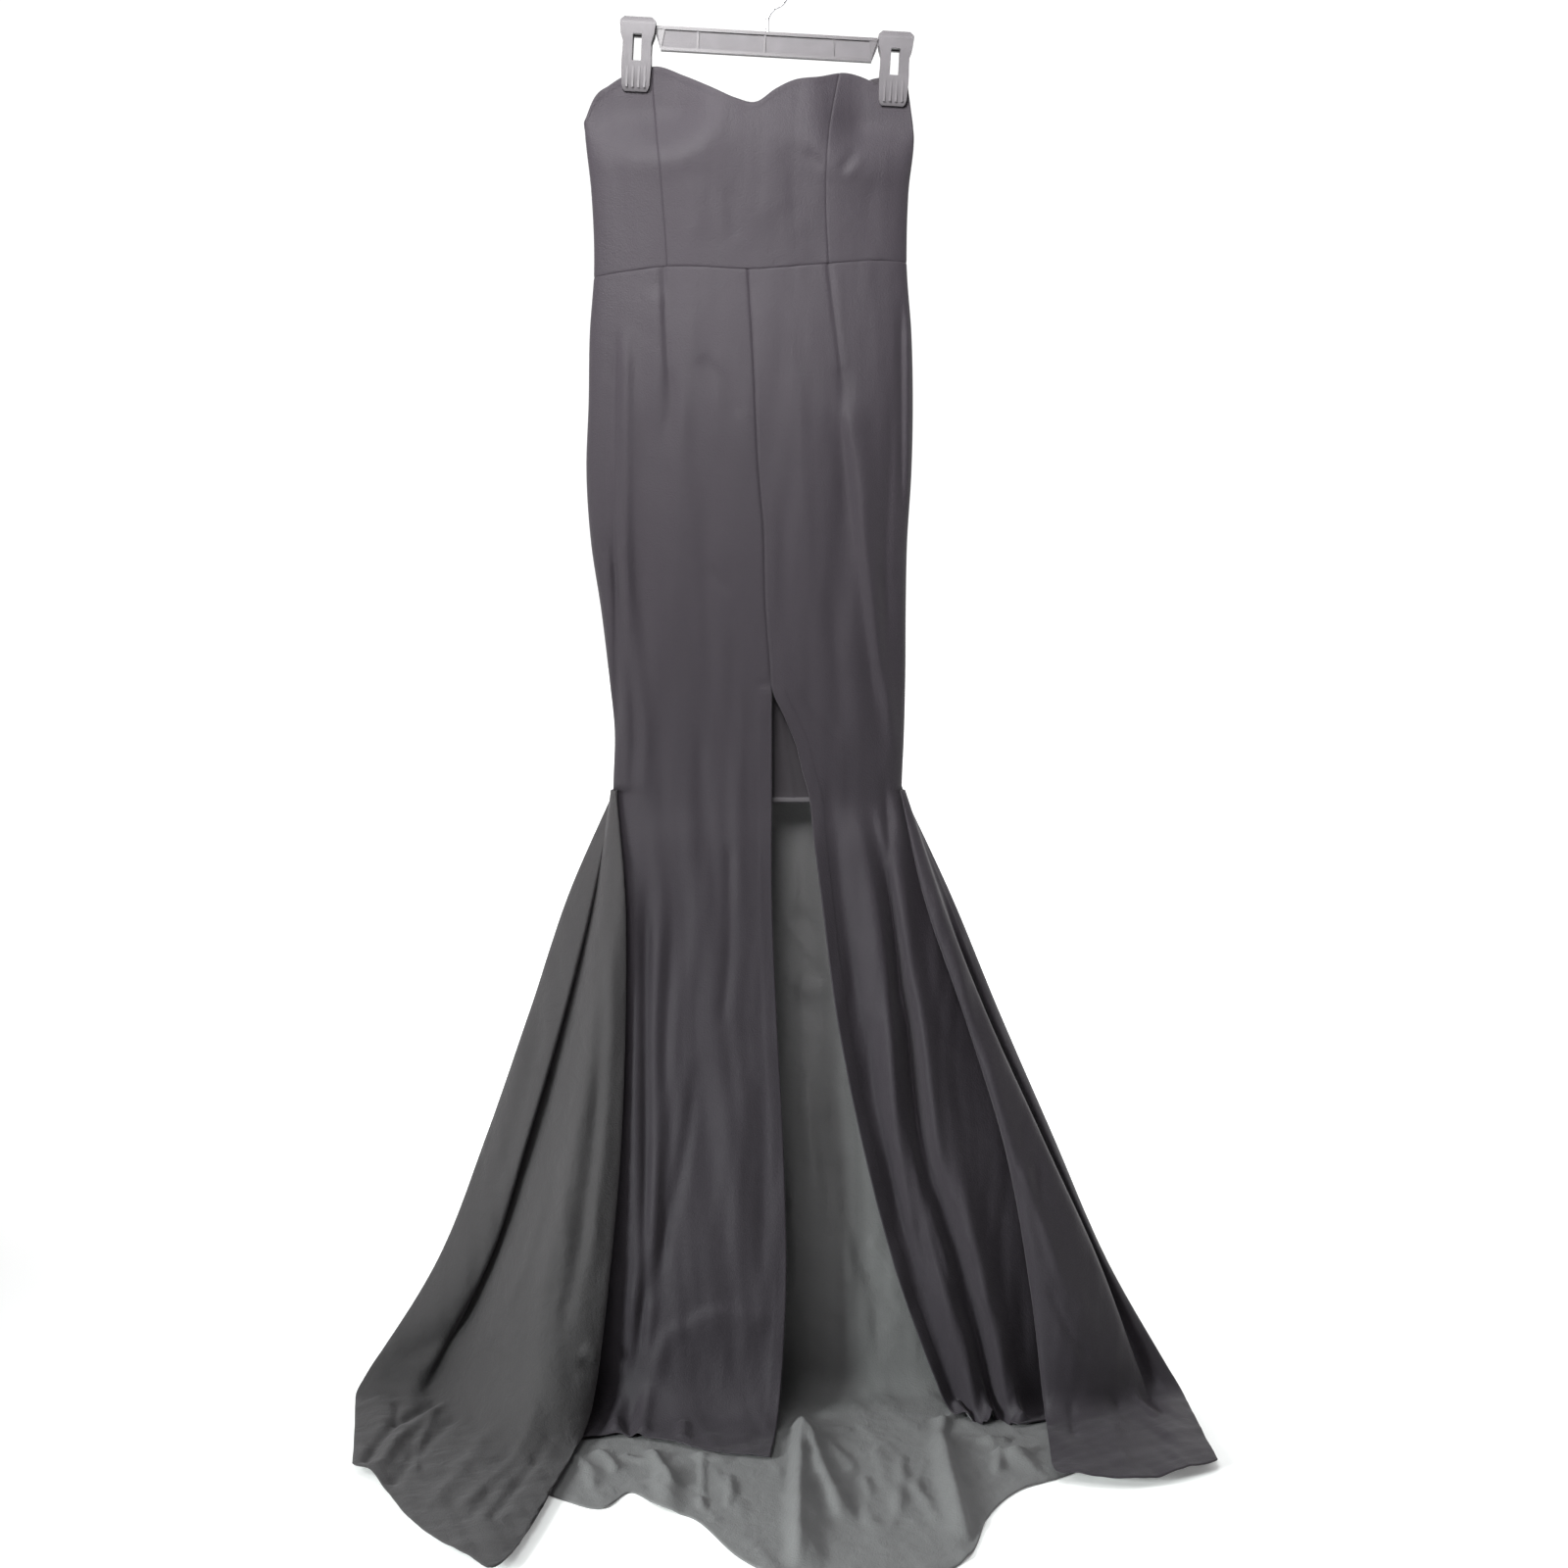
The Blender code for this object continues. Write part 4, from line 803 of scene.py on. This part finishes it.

# The short lining: a plain knit layer that hangs from the waist seam behind the front panels. Its rolled
# hem is given a painted highlight, a lighter knit that shows as a light bar across the slit, and its own
# slit edge slants away from it.
LINING_HEM, LINING_REACH, BEHIND_FRONT, ROLL = 657.0, 0.9, 1.9, 1.6
LINING_SLIT = [(2.2, 1.0, 2.6, 6, 0, [(8, 776), (13, 753), (19, 711), (27, 664)])]
lining_rows, lining_share = np.linspace(0, 1, 120)[:, None], np.linspace(-LINING_REACH, LINING_REACH, 90)
left, right = (smooth(TUBE["height"], TUBE[n], WAIST_LEVEL) for n in ("left", "right"))
waist_x = (left + right) / 2 + (right - left) / 2 * lining_share
waist = smooth(WAIST["x"], WAIST["height"], waist_x) - SEAM_GAP
height = waist + (LINING_HEM - waist) * lining_rows
left, right = (smooth(TUBE["height"], TUBE[n], height) for n in ("left", "right"))
x = (left + right) / 2 + (right - left) / 2 * lining_share
y = tube_y(x, height, left, right) + BEHIND_FRONT + 13 * ease(lining_rows * 1.6)
y = y - hang_waves(x, height, 5.1, 0.5) * ease(lining_rows * 3)
y = y - soft_lines(x, height, LINING_SLIT) - ROLL * ease((LINING_HEM + 6 - height) / 2)
lining = np.stack([x, y, height], -1)
wall = turned(lining, ["last"], TOP_TURN, ROLL)
piece = cloth("skirt_lining_cloth", lining, -1, wall, outside=LINING, inside=LINING)
# The hem row takes a lighter copy of the lining knit: a painted highlight where the rolled hem catches the
# light.
piece.data.materials.append(knit("lining hem painted highlight", (0.095, 0.088, 0.095), (0.07, 0.065, 0.07),
                                 rough=0.85, grain=0.3, crinkle=0.3))
faces_across = lining.shape[1] - 1
painted_highlight_row = (len(lining) - 2) * faces_across
slots = np.zeros(len(piece.data.polygons), np.int32)
slots[painted_highlight_row:painted_highlight_row + faces_across] = 2
piece.data.polygons.foreach_set("material_index", slots)
settle(piece, "skirt_lining", "lining", flat=(0.31, 0.55))

# The side flares: two wide gores set in between the front panels and the back from the knee down.
# Each falls in a cone with a crisp front fold and a deep valley, and its hem spreads on the floor.
FLARE_LEFT = columns(
    "x560 x430 x290 x150 x0 y560 y430 y290 y150 y0 hem_x hem_y bend lift",
    (-149, -149, -155, -168, -187, -47, -58, -68, -80, -92, -234, -386, 70, 9.5),
    (-161, -172, -192, -216, -246, -47, -64, -78, -92, -106, -274, -384, 100, 13),
    (-173, -200, -234, -270, -318, -40, -42, -46, -52, -54, -330, -322, 60, 11),
    (-182, -216, -258, -302, -364, -24, -15, -13, -11, -9, -368, -254, 30, 10),
    (-185, -217, -258, -304, -390, -28, -34, -38, -32, -16, -392, -214, 24, 13.5),
    (-209, -253, -302, -357, -450, -7, -5, -4, -4, -4, -414, -184, 20, 8),
)
FLARE_RIGHT = columns(
    "x560 x430 x290 x150 x0 y560 y430 y290 y150 y0 hem_x hem_y bend lift",
    (163, 207, 249, 276, 296, -41, -53, -62, -68, -72, 286, -196, 30, 9.5),
    (166, 209, 257, 306, 344, -48, -64, -74, -76, -66, 306, -218, 30, 13),
    (178, 229, 291, 352, 402, -42, -52, -56, -48, -28, 354, -226, 26, 11),
    (181, 228, 289, 353, 414, -25, -12, -9, -10, -12, 388, -219, 24, 10),
    (186, 236, 298, 360, 434, -19, -23, -23, -18, -12, 418, -206, 22, 13.5),
    (190, 244, 304, 364, 448, -7, -5, -4, -4, -4, 452, -176, 20, 8),
)
FLARE_LEFT_CREASES = [
    (-4.0, 6, 5, 60, 80, [(-166, 620), (-182, 540), (-204, 440), (-236, 330), (-270, 220)]),
    (3.0, 9, 8, 60, 80, [(-158, 560), (-164, 420), (-176, 260), (-190, 140)]),
    (-2.8, 9, 9, 60, 80, [(-166, 480), (-178, 360), (-196, 220), (-214, 110)]),
    (2.6, 9, 9, 60, 60, [(-196, 360), (-214, 260), (-238, 150)]),
    (-2.4, 8, 8, 40, 50, [(-236, 430), (-262, 330), (-290, 230)]),
    (2.4, 8, 8, 30, 40, [(-250, 440), (-276, 340), (-306, 230)]),
    (5.2, 6, 9, 12, 14, [(-196, 96), (-182, 86), (-168, 78)]),
    (-4.4, 6, 6, 12, 14, [(-200, 82), (-184, 72), (-170, 66)]),
    (-3.2, 8, 8, 30, 30, [(-300, 130), (-330, 90), (-360, 56)]),
    (-6.0, 14, 16, 60, 16, [(-262, 250), (-300, 150), (-338, 88), (-380, 50), (-416, 34)]),
    (4.0, 12, 9, 50, 40, [(-180, 470), (-194, 350), (-214, 230), (-240, 130)]),
    (-3.6, 7, 9, 50, 40, [(-170, 400), (-180, 300), (-196, 190), (-216, 100)]),
    (2.6, 5, 6, 30, 30, [(-232, 250), (-252, 180), (-280, 110)]),
    (-2.2, 4, 5, 16, 16, [(-290, 330), (-306, 300), (-312, 262)]),
    (1.8, 4, 4, 12, 12, [(-236, 380), (-252, 372), (-270, 376)]),
]
FLARE_LEFT_FLOOR = [
    (-4.4, 6, 6, 12, 20, [(-402, -200), (-391, -112), (-352, -30)]),
    (3.6, 7, 7, 12, 20, [(-386, -206), (-374, -120), (-340, -40)]),
    (-3.2, 5, 5, 10, 10, [(-398, -44), (-392, -78), (-390, -110)]),
    (-3.0, 8, 8, 20, 20, [(-368, -250), (-350, -150), (-326, -70)]),
    (2.8, 10, 10, 20, 30, [(-320, -300), (-300, -190), (-280, -110)]),
    (-2.4, 9, 9, 20, 30, [(-280, -330), (-266, -220), (-250, -140)]),
    (3.0, 6, 8, 10, 20, [(-236, -120), (-262, -210), (-290, -300)]),
    (-2.6, 6, 6, 10, 20, [(-222, -140), (-240, -230), (-262, -330)]),
    (2.4, 5, 5, 12, 16, [(-352, -60), (-356, -140), (-350, -220)]),
]
FLARE_RIGHT_CREASES = [
    (4.4, 8, 12, 60, 90, [(166, 600), (198, 480), (232, 370), (262, 250)]),
    (-4.0, 10, 8, 60, 60, [(150, 560), (180, 440), (214, 330), (250, 210), (276, 120)]),
    (-2.7, 8, 8, 60, 80, [(176, 520), (204, 430), (240, 310), (270, 200)]),
    (2.4, 10, 9, 60, 80, [(230, 320), (268, 210), (300, 120)]),
    (-2.2, 8, 8, 50, 60, [(262, 270), (296, 180), (330, 100)]),
    (3.4, 7, 7, 16, 16, [(328, 40), (350, 34), (378, 30)]),
    (2.0, 8, 8, 40, 50, [(286, 240), (320, 150), (352, 90)]),
    (3.4, 9, 12, 60, 40, [(222, 430), (246, 340), (276, 240), (310, 140)]),
    (-3.2, 9, 7, 60, 40, [(204, 400), (226, 300), (250, 200), (276, 110)]),
    (2.6, 6, 6, 30, 30, [(262, 300), (290, 210), (322, 120)]),
    (-2.2, 5, 5, 20, 20, [(292, 160), (316, 104), (346, 60)]),
]
FLARE_RIGHT_FLOOR = [
    (5.2, 5, 6, 10, 12, [(326, -14), (348, -30), (378, -48)]),
    (-4.0, 6, 5, 10, 12, [(330, -30), (352, -46), (380, -62)]),
    (4.0, 5, 5, 10, 12, [(386, -22), (400, -52), (412, -84)]),
    (-3.0, 5, 5, 10, 20, [(325, -30), (320, -80), (318, -136)]),
    (2.4, 9, 9, 20, 20, [(360, -90), (356, -150), (362, -210)]),
]


LAP, LAP_IN = 1.9, 5.0
FAN_OUT, FAN_DEEP, FAN_TURN = 6.5, 9.0, np.radians((20, 170))
GORE_FILL = 0.48


def lapped(panel, edge, inner):
    """A line just inside a panel's edge, moved off it by one lap to the side that faces forward where
    it hangs and up where it lies."""
    across = panel[:, inner] - panel[:, edge]
    line = panel[:, edge] + unit(across) * LAP_IN
    normal = unit(np.cross(across, np.gradient(line, axis=0)))
    return line + normal * np.sign(normal[:, 2:] - normal[:, 1:2]) * LAP


def flare(side, folds, front_panel, seed, creases, floor_creases):
    """A flare: its first column lies on the front panel's edge and its last on the back's, and the
    columns between are smooth curves through its fold lines, which fan out from a small half
    ellipse at the knee."""
    edge, inner = (0, 3) if side < 0 else (-1, -4)
    count = len(folds["x560"])
    turn = FAN_TURN[0] + (FAN_TURN[1] - FAN_TURN[0]) * np.linspace(0, 1, count)
    knee_x = TUBE["left" if side < 0 else "right"][-2]
    tops = np.stack([knee_x + side * (FAN_OUT * np.sin(turn) - 4.5), -3 - FAN_DEEP * np.cos(turn)], -1)
    fan = fold_rows(folds, KNEE, tops)
    seams = lapped(front_panel[hanging:], 0, 3), lapped(skirt_back[hanging:], edge, inner)
    lines = np.concatenate([[seams[0]], fan, [seams[1]]])
    across = np.linspace(0, len(lines) - 1, 18 * (len(lines) - 1) + 1)
    grid = smooth(np.arange(len(lines)), lines, across).transpose(1, 0, 2)
    return stand_forward(grid, creases, floor_creases, seed, 1.3)


# A lighter copy of the face knit for the left flare: painted light, standing for the brighter light on that
# flare; the right flare keeps the face knit.
PAINTED_LIGHT_FLARE_FACE = knit("flare knit painted lighter", (0.047, 0.044, 0.046), (0.029, 0.027, 0.028),
                  rough=0.78, grain=0.6, crinkle=2.6)
for name, side, folds, panel, seed, creases, floor_creases, flat in (
        ("flare_left", -1, FLARE_LEFT, left_panel, 4.2, FLARE_LEFT_CREASES, FLARE_LEFT_FLOOR, (0.48, 0.98)),
        ("flare_right", 1, FLARE_RIGHT, right_panel, 6.1, FLARE_RIGHT_CREASES, FLARE_RIGHT_FLOOR,
         (0.4, 0.86))):
    grid = flare(side, folds, panel, seed, creases, floor_creases)
    piece = cloth(f"{name}_cloth", grid, -side, turned(grid, ["last"], HEM_TURN, 0.5),
                  outside=PAINTED_LIGHT_FLARE_FACE if side < 0 else FACE)
    settle(piece, name, "knit_face", flat=flat, area=GORE_FILL * flat[0] * flat[1])

# The hanger: a smoky grey moulded bar with a lip along each edge and a thin tongue at each end, two
# spring clips whose ribbed jaws hold the dress, and a bent wire hook that turns in the bar.
PLASTIC = material("hanger plastic", Roughness=0.45, Specular_IOR_Level=0.25)
haze = PLASTIC.node("ShaderNodeTexNoise", {}, {
    "Vector": PLASTIC.node("ShaderNodeTexCoord", {}, {}, "Object"), "Scale": 60.0, "Detail": 4.0})
PLASTIC.feed("Base Color", PLASTIC.node("ShaderNodeMix", {"data_type": "RGBA"}, {
    0: haze, 6: (0.056, 0.052, 0.056, 1), 7: (0.09, 0.084, 0.09, 1)}, 2))
# A darker copy of the plastic: painted shade for the edges and lips, which are seen edge-on.
EDGE_SHADE = material("hanger plastic painted edge shade", Roughness=0.4, Base_Color=(0.035, 0.03, 0.034, 1))
WIRE = material("hook wire", Metallic=1.0, Roughness=0.22, Base_Color=(0.75, 0.75, 0.77, 1))


def on_bar(points):
    """The bar's own frame (x along it, y through it, z up from its top edge) turned by its tilt."""
    x, y, z = np.moveaxis(np.asarray(points, float), -1, 0)
    return np.stack([x * math.cos(TILT) + z * math.sin(TILT), y,
                     BAR_TOP - x * math.sin(TILT) + z * math.cos(TILT)], -1)


def moulded(name, points, faces, finish, bevel=0.0, angle=40, shade_from=None):
    """A hard piece from points in millimetres, with its edges rounded by a bevel. Faces that don't
    face forward or back, and the faces from the given index on, take a darker copy of the plastic:
    painted shade along the edges and lips, which are seen edge-on."""
    mesh = bpy.data.meshes.new(name)
    mesh.from_pydata(np.asarray(points) * MM, [], faces)
    mesh.materials.append(finish.owner)
    if finish is PLASTIC:
        mesh.materials.append(EDGE_SHADE.owner)
        normals = np.zeros(3 * len(faces), np.float32)
        mesh.polygons.foreach_get("normal", normals)
        # Faces seen edge-on get the darker plastic: painted shade.
        dark = np.abs(normals[1::3]) < 0.5
        dark[shade_from or len(faces):] = True
        mesh.polygons.foreach_set("material_index", dark.astype(np.int32))
    mesh.shade_smooth()
    mesh.set_sharp_from_angle(angle=math.radians(angle))
    piece = bpy.data.objects.new(name, mesh)
    bpy.context.collection.objects.link(piece)
    if bevel:
        rounding = piece.modifiers.new("rounding", "BEVEL")
        rounding.width, rounding.segments, rounding.limit_method = bevel * MM, 2, "ANGLE"
        rounding.angle_limit = math.radians(angle)
    return piece


def prism(outline, low, high):
    """An outline in x and z carried along y from low to high: points, and faces that point out."""
    x, z = np.array(outline, float).T
    points = np.concatenate([np.stack([x, np.full(x.shape, y), z], -1) for y in (low, high)])
    ring = np.arange(len(x))
    after = np.roll(ring, -1)
    sides = np.stack([ring, ring + len(x), after + len(x), after], -1).tolist()
    return points, [ring[::-1].tolist(), (ring + len(x)).tolist()] + sides


def joined(parts):
    """Several lists of points and faces put into one, the faces counted on from part to part."""
    starts = np.cumsum([0] + [len(points) for points, _ in parts]).tolist()
    return (np.concatenate([points for points, _ in parts]),
            [[k + start for k in face] for (_, faces), start in zip(parts, starts) for face in faces])


def outline_box(left, right, low, high):
    """The four corners of a box in x and z."""
    return [(left, high), (left, low), (right, low), (right, high)]


bar_parts = [
    prism([(-145, -0.5), (-145, -6.5), (-113, -6.5), (-107, -22.5), (107, -22.5), (113, -6.5),
           (145, -6.5), (145, -0.5)], -1.8, 1.8),
    prism(outline_box(-112, 112, -2.5, 0), -3.9, 3.9),
    prism(outline_box(-107, 107, -23, -20.6), -3.9, 3.9),
]
bar_parts += [prism(outline_box(x - 0.6, x + 0.6, -20.4, -2.6), -3.2, 3.2) for x in (-70, -2, 68)]
bar_parts += [prism([(side * 112, -2.6), (side * 104, -2.6), (side * 107, -20.4)][::side], -3.2, 3.2)
              for side in (-1, 1)]
points, faces = joined(bar_parts)
bar = moulded("hanger_bar_moulding", on_bar(points), faces, PLASTIC, 0.35, shade_from=10)
settle(bar, "hanger_bar", "hanger_plastic")


def tube_along(path, radius, around=14):
    """A round wire: circles of the given radius square to the path, with flat closed ends."""
    ahead = unit(np.gradient(path, axis=0))
    side = np.array([0.0, 1.0, 0.0])
    up = unit(np.cross(ahead, side))
    angle = np.linspace(0, 2 * math.pi, around, endpoint=False)
    ring = (np.cos(angle)[:, None, None] * side + np.sin(angle)[:, None, None] * up).transpose(1, 0, 2)
    points = (path[:, None] + ring * radius).reshape(-1, 3)
    k = np.arange(len(path) - 1)[:, None] * around
    a, b = np.arange(around), (np.arange(around) + 1) % around
    faces = np.stack([k + a, k + around + a, k + around + b, k + b], -1).reshape(-1, 4).tolist()
    last = (len(path) - 1) * around
    return points, faces + [list(range(around)), list(range(last + around - 1, last - 1, -1))]


wire, radius = 1.9, 22.0
stem = BAR_TOP + SEAM_GAP
lead = [(0, stem), (0, stem + 8), (0.3, stem + 13), (2.5, stem + 18), (7, stem + 23)]
arc = [(radius * math.cos(a), wire - radius + radius * math.sin(a))
       for a in np.radians(np.linspace(-48, 160, 22))]
tip = [(-22, wire - radius + 5.4), (-23.8, wire - radius + 4.2), (-26, wire - radius + 4.1)]
route = np.array(lead + arc + tip)
steps = np.concatenate([[0], np.cumsum(np.hypot(*np.diff(route, axis=0).T))])
route = smooth(steps, route, np.linspace(0, steps[-1], 120))
points, faces = tube_along(np.stack([route[:, 0], 0 * route[:, 0], route[:, 1]], -1), wire)
hook = moulded("hanger_hook_wire", points, faces, WIRE)
settle(hook, "hanger_hook", "hook_wire")

CLIP_LEVELS = columns(
    "height half front inner hole",
    (7, 14, 8.0, 0.2, 0), (3, 18, 9.5, 0.2, 0), (0.4, 18, 10, 0.2, 0), (0.3, 18, 10, 4.5, 0),
    (-10, 17, 10, 4.5, 1), (-17, 14.5, 9.5, 4.5, 1), (-27, 14.5, 9, 4.2, 1), (-36, 15, 8.5, 3.6, 0),
    (-44, 15, 8, 2.3, 0), (-60, 14.2, 7, 2.3, 0), (-64, 13, 6, 2.3, 0), (-66, 11, 4.8, 2.3, 0))
CLIP_HOLE = 4.5


def clip_half(side, face):
    """Half of a clip: levels down its length with four points across each, front and inner faces and
    rims, the tall hole left open between the middle two."""
    levels = CLIP_LEVELS
    count = len(levels["height"])
    across = np.stack([-levels["half"], -CLIP_HOLE + 0 * levels["half"],
                       CLIP_HOLE + 0 * levels["half"], levels["half"]], -1)
    depth = np.stack([levels["front"], levels["inner"]], -1)
    points = np.stack(np.broadcast_arrays(
        CLIP_REACH * side + across[:, :, None], face * depth[:, None, :],
        levels["height"][:, None, None]), -1).reshape(-1, 3)
    index = np.arange(count * 8).reshape(count, 4, 2)

    def solid(row, column):
        """Whether a cell of the clip's face is there and not part of the hole."""
        return 0 <= row < count - 1 and 0 <= column < 3 and not (column == 1 and levels["hole"][row])

    faces = []
    for row in range(count - 1):
        for column in range(3):
            if not solid(row, column):
                continue
            corners = [(row, column), (row, column + 1), (row + 1, column + 1), (row + 1, column)]
            faces += [[index[c][0] for c in corners[::-1]], [index[c][1] for c in corners]]
            rims = (((row - 1, column), (row, column), (row, column + 1)),
                    ((row + 1, column), (row + 1, column + 1), (row + 1, column)),
                    ((row, column - 1), (row + 1, column), (row, column)),
                    ((row, column + 1), (row, column + 1), (row + 1, column + 1)))
            faces += [[index[a][0], index[b][0], index[b][1], index[a][1]]
                      for beyond, a, b in rims if not solid(*beyond)]
    return points, faces if face < 0 else [f[::-1] for f in faces]


for side, word in ((-1, "left"), (1, "right")):
    for face, half_name in ((-1, "front"), (1, "back")):
        points, faces = clip_half(side, face)
        clip = moulded(f"clip_{word}_{half_name}_moulding", on_bar(points),
                       [[int(k) for k in f] for f in faces], PLASTIC, 0.9, 30)
        settle(clip, f"clip_{word}_{half_name}", "hanger_plastic")
        ribs = []
        for rib in (-9, -3, 3, 9):
            outline = outline_box(CLIP_REACH * side + rib - 0.8, CLIP_REACH * side + rib + 0.8, -62, -42)
            low, high = sorted((face * 6.2, face * 8.6))
            ribs.append(prism(outline, low, high))
        points, faces = joined(ribs)
        ribs = moulded(f"clip_{word}_{half_name}_ribs", on_bar(points), faces, PLASTIC, 0.3)
        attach(ribs, "root")

# The room: a pale floor that the train lies on and that shines by itself far back, so that no edge
# shows against the white wall light, soft lamps in front and above, and a camera at the
# photograph's angle. Each lamp has its place and target in metres, size, watts, spread and colour.
floor_mesh = bpy.data.meshes.new("floor")
floor_mesh.from_pydata([(-12, -6, 0), (12, -6, 0), (12, 14, 0), (-12, 14, 0)], [], [(0, 1, 2, 3)])
floor = bpy.data.objects.new("floor", floor_mesh)
floor.location.z = -FLOOR * MM - 0.0004
bpy.context.collection.objects.link(floor)
pale = material("pale floor", Base_Color=(0.9, 0.9, 0.9, 1), Roughness=0.9, Emission_Strength=1)


def by_depth(finish, near, far, low, high):
    """A value that goes softly from low to high between two depths behind the dress."""
    depth = finish.node("ShaderNodeSeparateXYZ", {}, {
        "Vector": finish.node("ShaderNodeTexCoord", {}, {}, "Object")}, 1)
    return finish.node("ShaderNodeMapRange", {"interpolation_type": "SMOOTHSTEP"}, {
        "Value": depth, "From Min": near, "From Max": far, "To Min": low, "To Max": high})


pale.feed("Emission Color", pale.node("ShaderNodeMix", {"data_type": "RGBA"}, {
    0: by_depth(pale, 0.2, 1.6, 0.15, 0.75), 6: (0, 0, 0, 1), 7: (1, 1, 1, 1)}, 2))
floor_mesh.materials.append(pale.owner)
WHITE, COOL = (1, 1, 1), (0.92, 1, 0.97)
LAMPS = [
    ("upper", (-0.35, -1.05, 0.42), (0, 0, -0.1), 0.7, 14.5, 78, WHITE),
    ("side", (-1.35, -0.62, -0.55), (0, -0.1, -1.05), 0.3, 4.8, 130, WHITE),
    ("top", (-0.3, -0.3, 0.9), (0, -0.25, -1.5), 1.2, 2.6, 60, COOL),
    ("low", (-1.25, -1.25, -0.95), (0.2, -0.22, -1.5), 0.35, 4.6, 56, COOL),
]
for name, place, target, size, watts, spread_angle, colour in LAMPS:
    lamp = bpy.data.lights.new(name, "AREA")
    lamp.size, lamp.energy, lamp.spread, lamp.color = size, watts, math.radians(spread_angle), colour
    light = bpy.data.objects.new(name, lamp)
    light.location = place
    toward = mathutils.Vector(target) - light.location
    light.rotation_euler = toward.to_track_quat("-Z", "Y").to_euler()
    bpy.context.collection.objects.link(light)
scene = bpy.context.scene
scene.world = bpy.data.worlds.new("studio")
room = Finish(scene.world, "Background", Color=(1, 1, 1, 1))
room.feed("Strength", by_depth(room, -0.6, 0.3, 0.08, 1.1))
scene.view_settings.view_transform = "Standard"
lens = bpy.data.cameras.new("camera")
lens.sensor_width, lens.lens = 36, 48.06
camera = bpy.data.objects.new("camera", lens)
camera.location = (0.017, -2.2, -0.5856)
camera.rotation_euler = (math.radians(83.6), 0, 0)
bpy.context.collection.objects.link(camera)
scene.camera = camera
